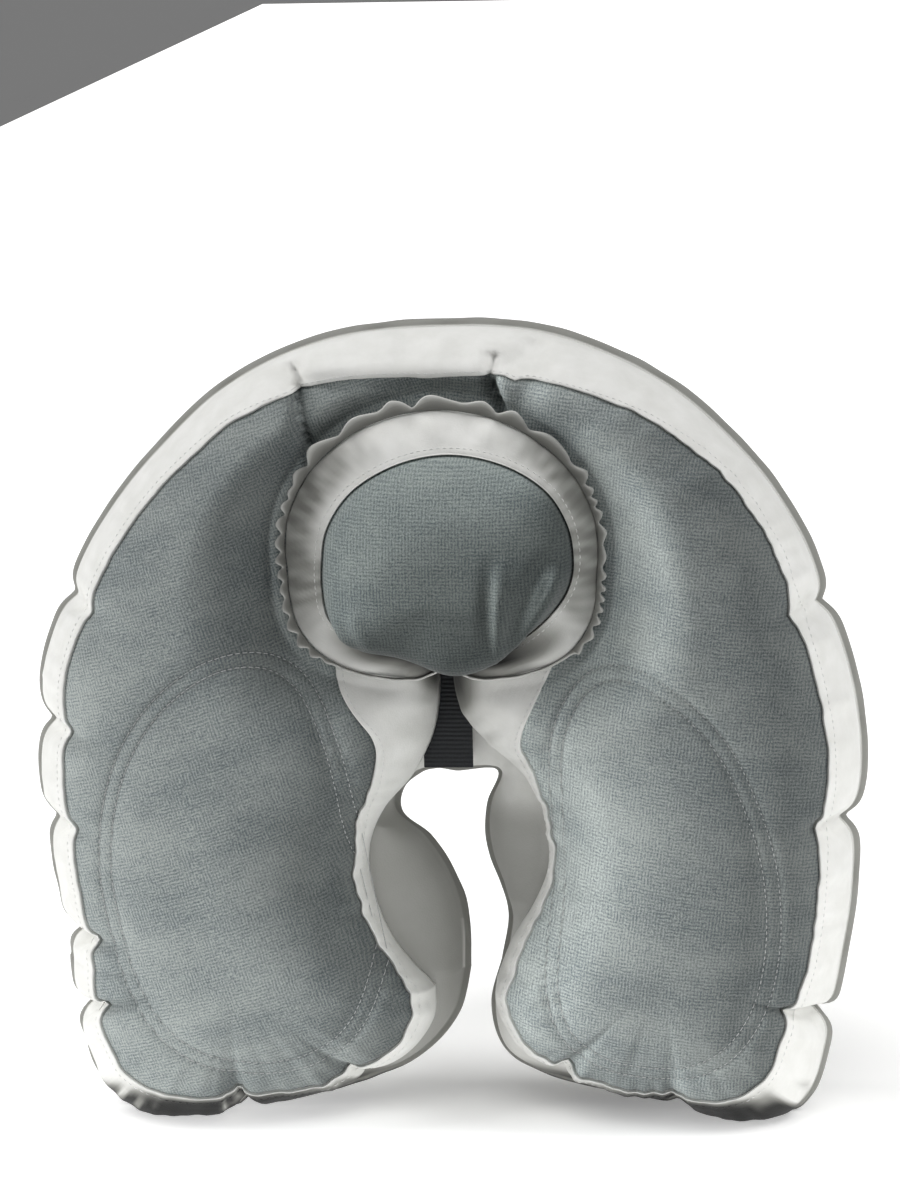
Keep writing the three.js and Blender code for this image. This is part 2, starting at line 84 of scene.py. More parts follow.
SECTION_COLUMNS = ("spine", "outer", "inner", "rear", "hem", "crown")
SECTIONS = [
    ((-90, 78), (-175.5, 70), (-9, 57), (3, 58), 8, 1),
    ((-97, 98), (-179, 92), (-27, 78), (3, 80), 3, 1),
    ((-102, 118), (-182, 112), (-36, 101), (-2, 100), 3, 1),
    ((-105, 138), (-185, 134), (-37, 121), (-13, 118), 4, 1),
    ((-108, 158), (-187, 156), (-30, 138), (-26, 130), 8, 1),
    ((-110, 178), (-186, 178), (-17, 153), (-25, 141), 14, 1),
    ((-112, 200), (-184, 204), (-8, 170), (-17, 148), 22, 1),
    ((-112, 226), (-174, 233), (-4.5, 184), (-10, 150.5), 42, 1),
    ((-104, 254), (-158, 265), (-3.5, 197), (-6, 151), 50, 0.98),
    ((-86, 279), (-132.5, 298), (-3, 207), (-3.5, 151), 78, 0.96),
    ((-60, 297), (-97.5, 328.5), (-2.5, 213), (-1.5, 151), 90, 0.9),
    ((-30, 306), (-53, 348.7), (-1.8, 217), (0, 151), 86, 0.74),
    ((0, 309), (-2, 355), (0, 219), (1.5, 151), 84, 0.7),
    ((30, 306), (50, 351), (1.8, 212), (3.5, 151), 90, 0.76),
    ((60, 297), (100, 329), (2.5, 199), (6, 151), 102, 0.9),
    ((85, 279), (136, 298), (4.5, 186), (9, 151), 95, 0.96),
    ((102, 254), (159, 264), (10, 176), (13, 151), 54, 0.98),
    ((110, 228), (171, 232), (20, 166), (17, 150), 19, 1),
    ((112, 202), (180, 204), (32, 155), (17.5, 146), 9, 1),
    ((113, 180), (184.5, 178), (40, 142), (12.5, 135), 4, 1),
    ((113, 160), (185, 156), (43, 128), (10.8, 123), 4, 1),
    ((112, 140), (182, 134), (43, 112), (12.5, 110), 5, 1),
    ((110, 120), (181, 112), (36, 95), (17, 97), 6, 1),
    ((106, 100), (179, 92), (26, 79), (20.5, 82), 8, 1),
    ((100, 80), (175, 70), (19, 62), (17, 62), 9, 1),
]

# Round each foot the outline runs from the outer seam to the inner edge
FOOT_COLUMNS = ("front", "rear", "hem")
LEFT_FOOT = [
    ((-175.5, 70), (-175.5, 70), 15),
    ((-175, 52), (-175, 52), 15),
    ((-171, 32), (-171, 32), 17),
    ((-161, 9), (-161, 9), 20),
    ((-143, -5), (-143, -5), 22.5),
    ((-122, -8), (-122, -8), 20.5),
    ((-98, -3), (-98, -3), 14),
    ((-75, 2), (-75, 2), 10),
    ((-54, 8), (-52, 7), 8),
    ((-37, 16), (-33, 12), 8),
    ((-20, 27), (-15, 22), 8),
    ((-10, 42), (-2, 38), 8),
    ((-9, 57), (3, 58), 8),
]
RIGHT_FOOT = [
    ((175, 70), (175, 70), 12.5),
    ((171, 50), (171, 50), 15),
    ((167, 30), (167, 30), 19.5),
    ((160, 9), (160, 9), 23),
    ((146, -5), (146, -5), 24),
    ((126, -7), (126, -7), 19),
    ((104, -1), (104, -1), 12),
    ((86, 4), (86, 4), 8),
    ((68, 8), (67, 7), 8),
    ((51, 14), (50, 9), 8),
    ((35, 23), (33, 13), 8),
    ((23, 37), (17, 23), 8),
    ((18, 50), (12, 42), 8),
    ((19, 62), (17, 62), 9),
]

# Puckers in the seam: x, z, how far it is drawn in, and how wide
PUCKERS = [
    (-171, 236, 6, 8),
    (-185, 179, 7, 8),
    (-184, 134, 6, 8),
    (-177, 83, 9, 6),
    (-174, 47, 10, 6),
    (-95, -5, 13, 6),
    (-38, 16, 4, 6),
    (171, 232, 5, 8),
    (183, 134, 8, 7),
    (170, 44, 10, 6),
    (98, -2, 8, 6),
    (44, 18, 5, 6),
]
# Pleats in the bend: x, z, depth of the groove, and how wide
PLEATS = [(-73, 346, 5, 8), (52, 353, 4, 8)]
# Points of the border that reach down into the pleats: x, z on the seam, how far, and how wide
HEM_POINTS = [(-77, 347, 4.5, 3.5), (44, 354, 3.0, 2.5)]
print(len(SECTIONS), "sections,", len(PUCKERS), "puckers")

# %% Small helpers for curves
def along(table, columns, name, t):
    """A smooth curve through one column of a table, at the row numbers t."""
    values = np.array([row[columns.index(name)] for row in table], float)
    start = np.clip(np.floor(t).astype(int), 0, len(values) - 2)
    f = t - start
    if values.ndim > 1:
        f = f[:, None]
    a, b, c, d = (values[np.clip(start + k, 0, len(values) - 1)] for k in (-1, 0, 1, 2))
    cubic = (3 * b - a - 3 * c + d) * f**3
    return 0.5 * (2 * b + (c - a) * f + (2 * a - 5 * b + 4 * c - d) * f**2 + cubic)


def mix(a, b, f):
    return a + (b - a) * f


def smoothstep(low, high, v):
    """0 before low and 1 past high, with a soft step between."""
    f = np.clip((v - low) / (high - low), 0, 1)
    return f * f * (3 - 2 * f)


def bump(away, width):
    """1 in the middle of a soft bump, and almost 0 past its width."""
    return np.exp(-((away / width) ** 2))


def nip(away, width):
    """Like bump, but pointed, as cloth is where a thread draws it in."""
    return np.exp(-((np.abs(away) / width) ** 1.25))


def soft_min(a, b, width):
    """The lower of a and b, rounded off where they meet."""
    f = np.clip(0.5 + (b - a) / (2 * width), 0, 1)
    return mix(b, a, f) - width * f * (1 - f)


def distance(a, b):
    return np.linalg.norm(a - b, axis=-1)


def to_segment(x, z, line):
    """Signed distance from a line given as x, z to x, z, and the share of the way along it."""
    ax, az, bx, bz = line[:4]
    length = math.hypot(bx - ax, bz - az)
    ux, uz = (bx - ax) / length, (bz - az) / length
    return (x - ax) * uz - (z - az) * ux, ((x - ax) * ux + (z - az) * uz) / length

# %% [markdown]
# A cushion is built from rows of cloth, as ribs build a tent. Each row starts on the sewn edge and
# runs to the middle line of the arm. The rows go once round the whole outline: outer seam, right
# foot, inner edge, left foot. Where the sewing pulls the seam in, the cloth puckers, so the start
# of the row moves inwards there and the dome over it keeps its shape.

# %% Rows round the outline
FINER = 18          # rows for each section
FOOT_ROWS = 150
DRAWN_WIDTH = 0.62  # a seam is drawn in over less than a pucker's whole width
HEM_LOSS = 0.62     # and the border loses that share of it
NARROWEST_HEM = 4
TUCK_SINKS = 0.28   # how much of its height a dome loses in a pucker


class Outline:
    """Rows from the sewn edge of a cushion to its middle line, as arrays."""

    def __init__(self, side):
        last = len(SECTIONS) - 1
        out = np.linspace(0, last, last * FINER + 1)
        turn = np.linspace(0, 1, FOOT_ROWS + 1)[1:-1]
        front = side == "front"
        spine_ends = along(SECTIONS, SECTION_COLUMNS, "spine", out[[0, -1]])
        runs = [
            self.section_run(out, "outer", "outer"),
            self.foot_run(RIGHT_FOOT, turn, side, spine_ends[1:]),
            self.section_run(out[::-1], "inner" if front else "rear", "inner"),
            self.foot_run(LEFT_FOOT, turn[::-1], side, spine_ends[:1]),
        ]
        for name in runs[0]:
            setattr(self, name, np.concatenate([run[name] for run in runs]))
        self.full_length = distance(self.spine, self.edge)
        self.tuck = self.strongest(PUCKERS, nip, deep=False)
        self.pleat = self.strongest(PLEATS, bump)
        drawn_in = self.strongest(PUCKERS, nip, DRAWN_WIDTH)
        self.move_in(drawn_in)
        points = self.strongest(HEM_POINTS, nip)
        self.hem = np.maximum(self.hem - HEM_LOSS * drawn_in, NARROWEST_HEM) + points
        if front:
            lip = SEAM_LIP * (1 - self.inward)
            self.move_in(lip)
            self.full_length = self.full_length - lip

    def section_run(self, t, edge, ridge):
        """Rows over the arms and the bend, at section numbers t."""
        inner = ridge == "inner"
        middle = t - (len(SECTIONS) - 1) / 2
        get = lambda name: along(SECTIONS, SECTION_COLUMNS, name, t)
        band = np.interp(t, range(len(BORDER_WIDTHS)), BORDER_WIDTHS)
        return {
            "edge": get(edge),
            "ridge": get(ridge),
            "spine": get("spine"),
            "crown": FRONT_CROWN * get("crown"),
            "hem": get("hem") if inner else band,
            "inward": np.full(len(t), float(inner)),
            "bridge": bump(middle, BRIDGE_SPAN) * inner,
        }

    def foot_run(self, table, share, side, spine):
        """Rows round a foot, to one end of the middle line."""
        get = lambda name: along(table, FOOT_COLUMNS, name, share * (len(table) - 1))
        return {
            "edge": get(side),
            "ridge": get("front"),
            "spine": np.repeat(spine, len(share), axis=0),
            "crown": np.full(len(share), FRONT_CROWN),
            "hem": get("hem"),
            "inward": smoothstep(0.5, 1, share),
            "bridge": np.zeros(len(share)),
        }

    def strongest(self, places, shape, narrower=1, deep=True):
        """The strongest of the places in a table at the start of each row."""
        found = []
        for x, z, depth, width in places:
            away = np.hypot(self.edge[:, 0] - x, self.edge[:, 1] - z)
            found.append((depth if deep else 1) * shape(away, narrower * width))
        return np.max(found, axis=0)

    def move_in(self, by):
        """Moves the start of each row towards the middle line."""
        now = distance(self.spine, self.edge)
        self.edge = self.edge + (self.spine - self.edge) * (by / now)[:, None]
        self.length = now - by

    def plan(self, r):
        """Points in the pattern's plane, r of the way from the edge to the middle line."""
        return self.edge[:, None, :] + (self.spine - self.edge)[:, None, :] * r[..., None]


def dome(rows, r):
    """Height of a row over its plane, as a share of its crown."""
    shrink = (rows.length / rows.full_length)[:, None]
    away = (1 - r) * mix(shrink, 1, (1 - r) ** 2)
    return np.sqrt(np.clip(1 - away**2, 0, None)) * (1 - TUCK_SINKS * rows.tuck[:, None] * away**8)


def lengths_round(line):
    """How far round a closed line each of its points lies."""
    return np.cumsum(distance(line, np.roll(line, 1, axis=0)))


front_rows = Outline("front")
rear_rows = Outline("rear")
print(len(front_rows.edge), "rows round the outline")

# %% [markdown]
# The front face rises like a dome over the rows. Drawn into it are two rows of quilting round each
# arm, the pleats of the bend with a strip between them that lies back, and the hollow for the oval
# cushion. Real cloth is never even, so soft waves run along the border, sums of seeded sines.

# %% The shape of the front face
HEAD = {"x": 2.8, "z": 261.5, "half_width": 68.6, "half_height": 58.6, "back": -33.95, "rim": 1.2}
SEAT = {"y": -33.6, "edge": 1.11, "slope": 70.0, "blend": 12.0}
QUILT = {"row": 1.15, "row_width": 1.1, "channel": 1.9, "channel_width": 9, "swell": 1.2}
chance = np.random.default_rng(7)
OVAL_STEP = 6.0     # between the two rows of quilting
LEFT_OVAL = [  # x, z round the outer row
    (-80, 218.5), (-104, 212), (-128.6, 190.5), (-144.7, 160), (-151, 126), (-148.7, 99.6), (-139.6, 65.7),
    (-118.3, 37.2), (-80.7, 25.9), (-43.6, 38.1), (-27, 73), (-31, 105), (-38.6, 132), (-42, 165), (-54, 200),
]
RIGHT_OVAL = [
    (72.8, 212.2), (96, 207.2), (115.3, 193.2), (130.6, 173.8), (144.9, 135.3), (148.9, 104), (146.2, 72.9),
    (135, 43.6), (105, 24.6), (65.2, 30), (50, 43), (46, 70), (48, 105), (48, 150), (53, 190),
]
# Creases of the pleats: from x, z to x, z, then depth and width
PLEAT_LINES = [
    (-75, 350, -62, 333, 6.0, 4.2), (-63, 337, -55, 304, 8.5, 2.5), (-60, 333, -53, 323, 3.0, 2.0),
    (54, 357, 31, 336, 7.0, 4.2), (26, 343, 26, 328, 8.0, 2.2), (26, 329, 36, 312, 7.0, 2.2),
]
DARTS = [(-62, 334, -56, 306), (26, 338, 33, 315)]  # sides of the strip that lies back
DART_DROP = 9.0
PUCKER_CREASE = 5.0


def waves(place, period, count=4):
    """A soft uneven wave along a length, between about -1 and 1."""
    total = np.zeros_like(place)
    for _ in range(count):
        total += np.sin(2 * np.pi * place / (period * chance.uniform(0.7, 1.5)) + chance.uniform(0, 6.3))
    return total / math.sqrt(count)


def closed_curve(corners, count=400):
    """Points on a smooth closed curve through the corners."""
    wrapped = [(point,) for point in [corners[-1], *corners, corners[0], corners[1]]]
    t = np.linspace(1, len(corners) + 1, count + 1)[:-1]
    return along(wrapped, ("point",), "point", t)


def by_turn(line):
    """The points of a closed line in the order of their turn round its middle, and those turns."""
    out = line - line.mean(axis=0)
    turn = np.arctan2(out[:, 1], out[:, 0])
    return line[np.argsort(turn)], np.sort(turn)


class Quilting:
    """Two rows of stitches round an arm, the outer one through the given corners."""

    def __init__(self, corners):
        curve = closed_curve(corners)
        self.middle = curve.mean(axis=0)
        line, turn = by_turn(curve)
        out = line - self.middle
        self.turns = np.linspace(-np.pi, np.pi, len(turn) + 1)[:-1]
        reach = np.interp(self.turns, turn, np.hypot(out[:, 0], out[:, 1]), period=2 * np.pi)
        self.reach = np.mean([np.roll(reach, k) for k in range(-14, 15)], axis=0)
        slope = np.gradient(self.reach, self.turns)
        self.slant = self.reach / np.hypot(self.reach, slope)

    def at(self, turn):
        """How far out the outer row lies at a turn, and its slant there."""
        return [np.interp(turn, self.turns, values, period=2 * np.pi) for values in (self.reach, self.slant)]

    def inside(self, x, z):
        """Distance inwards from the outer row."""
        reach, slant = self.at(np.arctan2(z - self.middle[1], x - self.middle[0]))
        return (reach - np.hypot(x - self.middle[0], z - self.middle[1])) * slant

    def row(self, inwards, count=500):
        """Points of a row that lies inwards from the outer one."""
        turn = np.linspace(-np.pi, np.pi, count + 1)[:-1]
        reach, slant = self.at(turn)
        reach = reach - inwards / slant
        return self.middle + np.stack([np.cos(turn), np.sin(turn)], axis=1) * reach[:, None]


ovals = {"left": Quilting(LEFT_OVAL), "right": Quilting(RIGHT_OVAL)}


def quilted(x, z):
    """How far the quilting draws the face in: two sharp rows in one soft channel."""
    total = np.zeros_like(x)
    for oval in ovals.values():
        inside = oval.inside(x, z)
        rows = nip(inside, QUILT["row_width"]) + nip(inside - OVAL_STEP, QUILT["row_width"])
        channel = bump(inside - OVAL_STEP / 2, QUILT["channel_width"])
        total += QUILT["row"] * rows + QUILT["channel"] * channel - QUILT["swell"] * smoothstep(6, 34, inside)
    return total


def pleated(x, z):
    """How far the pleats draw the face in, and how far the part between them lies back."""
    total = np.zeros_like(x)
    for line in PLEAT_LINES:
        off, place = to_segment(x, z, line)
        depth, width = line[4:]
        total += depth * nip(off, width) * smoothstep(-0.12, 0.12, place) * smoothstep(1.2, 0.8, place)
    left, right = (to_segment(x, z, dart)[0] for dart in DARTS)
    between = smoothstep(2, -1.5, left) * smoothstep(-1.5, 2, right)
    return total + DART_DROP * between * smoothstep(339, 328, z) * smoothstep(290, 300, z)


def head_share(x, z):
    """1 on the outline of the oval cushion, which is rounder above and squarer below."""
    across, up = np.abs(x - HEAD["x"]) / HEAD["half_width"], (z - HEAD["z"]) / HEAD["half_height"]
    power = 2 + 1.1 * smoothstep(0, 0.5, -up)
    return (across**power + np.abs(up) ** power + 1e-9) ** (1 / power)


def front_face(rows, r):
    """The front without its waves."""
    plan = rows.plan(r)
    x, z = plan[..., 0], plan[..., 1]
    groove = rows.pleat[:, None] * np.minimum(1, 3 * r) * (1 - r**6)
    high = np.clip(rows.crown[:, None] * dome(rows, r) - groove, 0, None)
    hollow = -SEAT["y"] + SEAT["slope"] * np.clip(head_share(x, z) - SEAT["edge"], 0, None)
    high = soft_min(high, hollow, np.clip(high, 1e-6, SEAT["blend"]))
    high = high - (quilted(x, z) + pleated(x, z)) * smoothstep(0, 0.1, r)
    return np.stack([x, -high, z], axis=-1)


def normals_of(points):
    """Unit normals of a closed belt of rows, from the steps along and across it."""
    around = np.roll(points, -1, axis=0) - np.roll(points, 1, axis=0)
    across = np.gradient(points, axis=1)
    normal = np.cross(around, across)
    normal /= np.linalg.norm(normal, axis=-1, keepdims=True) + 1e-9
    return np.where(normal[..., 1:2] > 0, -normal, normal)


around_mm = lengths_round(front_rows.edge)
BORDER_WAVES = waves(around_mm, 22.0) * 0.6 + waves(around_mm, 9.0) * 0.28
VELOUR_WAVES = waves(around_mm, 30.0) * 0.35 + waves(around_mm, 14.0) * 0.15


def front_skin(rows, r):
    """The front face with its waves and the creases of the puckers, and the normals there."""
    points = front_face(rows, r)
    normal = normals_of(points)
    depth = r * rows.length[:, None]
    fade = bump(depth - 5, 9) * smoothstep(0, 3, depth)
    crease = rows.tuck[:, None] ** 1.3 * PUCKER_CREASE * np.exp(-depth / 12) * smoothstep(0, 2, depth)
    crease = crease * (1 - r) ** 2
    ripple = BORDER_WAVES[:, None] * fade + VELOUR_WAVES[:, None] * bump(depth - 26, 16) * (1 - r) ** 0.5
    return points + normal * (ripple - crease)[..., None], normal


# %% [markdown]
# Each cloth piece starts as a flat bmesh grid. Its corners are then moved to their places on the
# pillow, row by row, and the ends of the belt are joined. Because the grid follows the sewing, the
# border between two cloths is a clean line. A solidify modifier gives a sheet its thickness.

# %% Cloth from a grid
TOP_LIFT = 1.8
VELOUR_THICKNESS = 1.4


def on_the_floor(points):
    """Cloth that would pass under the floor lies flat on it, and air pressure lifts the bend."""
    points = points.copy()
    z = points[..., 2] + TOP_LIFT * smoothstep(298, 336, points[..., 2])
    points[..., 2] = (z + np.sqrt(z**2 + 4)) / 2
    return points


def object_from(name, shape, smooth=True):
    """A Blender object from a finished bmesh."""
    mesh = bpy.data.meshes.new(name)
    shape.to_mesh(mesh)
    shape.free()
    for face in mesh.polygons:
        face.use_smooth = smooth
    piece = bpy.data.objects.new(name, mesh)
    bpy.context.scene.collection.objects.link(piece)
    print(name, len(mesh.vertices), "corners,", len(mesh.polygons), "faces")
    return piece


def cloth_piece(name, points, settle=True, **layers):
    """An object from a closed belt of rows, in millimetres, with its layers of corner values."""
    if settle:
        points = on_the_floor(points)
    points = np.concatenate([points, points[:1]])
    rows, rings = points.shape[:2]
    shape = bmesh.new()
    bmesh.ops.create_grid(shape, x_segments=rings - 1, y_segments=rows - 1, size=0.5)
    places = ((points + SHIFT) * MM).reshape(-1, 3)
    for vertex, place in zip(shape.verts, places):
        vertex.co = place
    for key, value in layers.items():
        layer = shape.verts.layers.float.new(key)
        for vertex, number in zip(shape.verts, np.concatenate([value, value[:1]]).reshape(-1)):
            vertex[layer] = number
    bmesh.ops.remove_doubles(shape, verts=shape.verts, dist=2e-6)
    bmesh.ops.recalc_face_normals(shape, faces=shape.faces)
    return object_from(name, shape)


def sheet_of_cloth(name, points, thickness, offset=-1, **layers):
    """An open sheet that faces the front, as thick as its cloth."""
    piece = cloth_piece(name, points, **layers)
    total = sum((face.normal * face.area for face in piece.data.polygons), Vector())
    if total.y > 0:
        piece.data.flip_normals()
    thick = piece.modifiers.new("thickness", "SOLIDIFY")
    thick.thickness = thickness * MM
    thick.offset = offset
    return piece


# %% [markdown]
# The light cloth of the front cushion is one closed form: a flat back, the border that curves up
# from the seam, a folded edge that lies on the velour, and the bed under the velour. The folded
# edge is a millimetre thick, so it throws the thin dark line that a sewn-on border has.

# %% Light cloth of the front cushion
FOLD = 0.9          # how far the border's folded edge stands over the velour
STITCH_INSET = 3.0  # the row of stitches from that edge
STITCH_DIP = 0.45   # how far the stitches draw the border in
BED = 2.2           # depth of the bed under the velour, at its edge
BED_MIDDLE = 4.5
EDGE_HEIGHTS = np.array([FOLD - 0.15, FOLD - 0.5, -0.1, -BED])[None, :, None]  # down the folded edge

hem_share = np.minimum(front_rows.hem / front_rows.length, 0.96)
per_mm = 1 / front_rows.length


def across(stops):
    """The same stops on every row, as an array of rows by rings."""
    return np.stack([np.broadcast_to(stop, hem_share.shape) for stop in stops], axis=1)


border_r = across([hem_share * (k / 16) ** 1.5 for k in range(17)])
border, border_normal = front_skin(front_rows, border_r)
to_hem = (hem_share[:, None] - border_r) / per_mm[:, None]
lift = FOLD * smoothstep(8, 1, to_hem) - STITCH_DIP * bump(to_hem - STITCH_INSET, 0.9)
lift *= smoothstep(0, 0.3, border_r / hem_share[:, None])
border = border + border_normal * lift[..., None]

edge_r = across([hem_share + 0.3 * per_mm, hem_share + 0.35 * per_mm, hem_share, hem_share - 0.4 * per_mm])
edge, edge_normal = front_skin(front_rows, edge_r)
edge = edge + edge_normal * EDGE_HEIGHTS
bed_r = across([mix(hem_share, 1, k) for k in (0.1, 0.25, 0.4, 0.55, 0.7, 0.85, 1)])
bed = front_skin(front_rows, bed_r)[0] + np.array([0, BED_MIDDLE, 0])
back_plan = front_rows.plan(across([1, 0.5, 0]))
back = np.stack([back_plan[..., 0], np.zeros(back_plan.shape[:2]), back_plan[..., 1]], axis=-1)
front_cloth = cloth_piece("front_cloth", np.concatenate([back, border[:, 1:], edge, bed], axis=1))

# %% [markdown]
# The velour face is a sheet of its own. It starts a little under the border's fold, dips where it
# is sewn, and then follows the dome over the arms.

# %% Velour face
UNDER_FOLD = 1.6    # how far the velour reaches in under the border
DIP_REACH = 2.6     # how far from the seam the dip fades
velour_steps = [0, 0.012, 0.03, 0.055, 0.09, 0.135, *np.linspace(0.17, 1, 36)]
start = hem_share - UNDER_FOLD * per_mm
velour_r = across([mix(start, 1, k) for k in velour_steps])
velour, velour_normal = front_skin(front_rows, velour_r)
from_hem = (velour_r - hem_share[:, None]) * front_rows.length[:, None]
dip = 1.5 * np.exp(-np.clip(from_hem + UNDER_FOLD, 0, None) / DIP_REACH)
velour_face = sheet_of_cloth("velour_panel", velour - velour_normal * dip[..., None], VELOUR_THICKNESS)

# %% [markdown]
# The rear cushion carries the seam allowance: a flat lip of two layers that runs all the way round
# outside the seam. Between the arms its lobes curve back to a seam of their own, and behind it is
# a plain dome. The rings run from the middle of its flat front over the lip to the dome behind.

# %% Rear cushion
THROAT = {"z": 172.0, "half_width": 45.0, "half_height": 50.0, "relief": 2.2}
LIP_RINGS = [2.3, 1.3, 0.5]     # in from the lip's edge
FORWARD_SHARES = np.array([0, .02, .06, .13, .24, .4, .6, .8, 1])
BEHIND_SHARES = np.array([0, .004, .014, .03, .055, .09, .14, .2, .28, .37, .48, .6, .72, .86, 1])
HALF_LIP = LIP_THICKNESS / 2
rear_around = lengths_round(rear_rows.edge)
LIP_WAVES = waves(rear_around, 26.0)
REAR_WAVES = waves(rear_around, 24.0) * 0.6
LIP_CURL = 2.2

rear_length = rear_rows.length[:, None]
lobe_seam = mix(LOBE_SEAM_Y, BRIDGE_SEAM_Y, rear_rows.bridge)
seam_y = mix(GAP + HALF_LIP, lobe_seam, rear_rows.inward)[:, None]
lobe_reach = np.maximum(distance(rear_rows.ridge, rear_rows.edge), LOBE_CURVE)[:, None]


def rear_points(depths, y_of=lambda depth, front: front):
    """Rings of points at depths in from the edge, on the flat front unless y_of says otherwise."""
    depth = np.broadcast_to(depths, (len(rear_length), np.shape(depths)[-1]))
    plan = rear_rows.plan(depth / rear_length)
    x, z = plan[..., 0], plan[..., 1]
    away = np.hypot(x / THROAT["half_width"], (z - THROAT["z"]) / THROAT["half_height"])
    return np.stack([x, y_of(depth, GAP + THROAT["relief"] * bump(away, 1)), z], axis=-1)


def forward_y(depth, front):
    """The lobe, which curves back from the flat front to its own seam."""
    away = 1 - np.clip((depth - SEAM_LIP) / lobe_reach, 0, 1)
    return mix(front, np.maximum(seam_y - HALF_LIP, front), 1 - np.sqrt(1 - away**2))


def behind_y(depth, front):
    """The dome behind, with the grooves of the puckers and soft waves."""
    share = np.clip((depth - SEAM_LIP) / (rear_length - SEAM_LIP), 0, 1)
    root = seam_y + LIP_THICKNESS * 0.7 + 0.4
    rise = np.where(share > 0, dome(rear_rows, share), 0)
    groove = rear_rows.tuck[:, None] * 3 * np.exp(-depth / 16) * smoothstep(3, 6, depth)
    return mix(root, REAR_CROWN, rise) - groove + 0.5 * REAR_WAVES[:, None] * bump(depth - 14, 10)


def lip_y(offset):
    """One layer of the lip, which curls back towards its edge."""
    def height(depth, front):
        curl = (LIP_CURL + 0.9 * LIP_WAVES[:, None]) * (1 - np.clip(depth / SEAM_LIP, 0, 1)) ** 1.5
        return np.maximum(seam_y + offset, front + HALF_LIP + offset) + curl
    return height


forward_depth = np.minimum(SEAM_LIP + lobe_reach * FORWARD_SHARES, rear_length)
belts = [  # rings of points, and whether they are on the lip
    (rear_points(rear_length), 0.0),
    (rear_points(forward_depth[:, ::-1], forward_y), 0.0),
    (rear_points(LIP_RINGS, lip_y(-HALF_LIP)), 1.0),
    (rear_points([0.0], lip_y(0)), 1.0),
    (rear_points(LIP_RINGS[::-1], lip_y(HALF_LIP)), 1.0),
    (rear_points(SEAM_LIP + (rear_length - SEAM_LIP) * BEHIND_SHARES, behind_y), 0.0),
]
rear = np.concatenate([rings for rings, _ in belts], axis=1)
# The lip gets painted shade: the painted grey of the seams all over it
lip_painted_shade = np.concatenate([np.full(rings.shape[:2], on_lip) for rings, on_lip in belts], axis=1)
rear_cloth = cloth_piece("rear_cloth", rear, edge_share=lip_painted_shade)

# %% [markdown]
# The oval cushion is a small dome. Its light border climbs steeply out of the hollow. The velour
# oval has a dome of its own, and at the bottom it sags over the border, so the light from above
# leaves a deep shadow there. Three soft folds run down to its lower edge. A turn round the oval and
# how far out it lies give each point.

# %% Oval head cushion
TURNS = 240
OVAL_VELOUR = [  # x, z round the sewn edge of the velour
    (62, 258), (59.5, 273), (50, 288), (32, 299), (9, 303.5), (-14, 299.5),
    (-34, 288), (-45.5, 272), (-48.5, 256), (-48.5, 243), (-46, 231), (-37, 223),
    (-14, 219.5), (10, 215.5), (30, 218), (44, 226), (55, 237), (60.5, 247),
]
PAD_PEAK = np.array([10.0, 247.0])
RING_RISE, PAD_RISE, SAG = 11.0, 30.0, 5.5
PAD_POWER, PAD_REACH = 2.6, 0.994   # how square the dome's section is, and how far down it the seam is
FOLDS = [  # from x, z to x, z of each soft fold, its height and width
    (33, 256, 31, 217, 3.2, 3.0),
    (58, 254, 42, 222, 5.0, 4.2),
    (-30, 222, -38, 236, -1.6, 3.0),
]
BORDER_RINGS = np.array([1, .98, .94, .87, .78, .68, .58, .48, .38, .29, .21, .14, .09, .04, .005])
UNDER_RING = 0.07   # how far the velour reaches in under the border, as a share of the border
PAD_RADIUS = 48     # from the velour's edge to its middle
turns = np.linspace(0, 2 * np.pi, TURNS + 1)[:-1]
HEAD_WAVES = waves(turns * 60, 26.0) + 0.7 * waves(turns * 60, 11.0)
HEAD_WAVES = HEAD_WAVES - np.linspace(HEAD_WAVES[0], HEAD_WAVES[-1], TURNS)

oval_line, oval_turns = by_turn(closed_curve(OVAL_VELOUR))


def velour_edge(turn):
    """The point of the velour's edge at a turn round the oval."""
    turn = (turn + np.pi) % (2 * np.pi) - np.pi
    return np.stack([np.interp(turn, oval_turns, way, period=2 * np.pi) for way in oval_line.T], axis=-1)


def ring_edge(turn):
    """The point of the cushion's outline at a turn, drawn up a little over the slit."""
    out_x, out_z = HEAD["half_width"] * np.cos(turn), HEAD["half_height"] * np.sin(turn)
    share = head_share(HEAD["x"] + out_x, HEAD["z"] + out_z)
    x, z = HEAD["x"] + out_x / share, HEAD["z"] + out_z / share
    return np.stack([x, z + 5.0 * bump(x - 4, 9) * (np.sin(turn) < 0)], axis=-1)


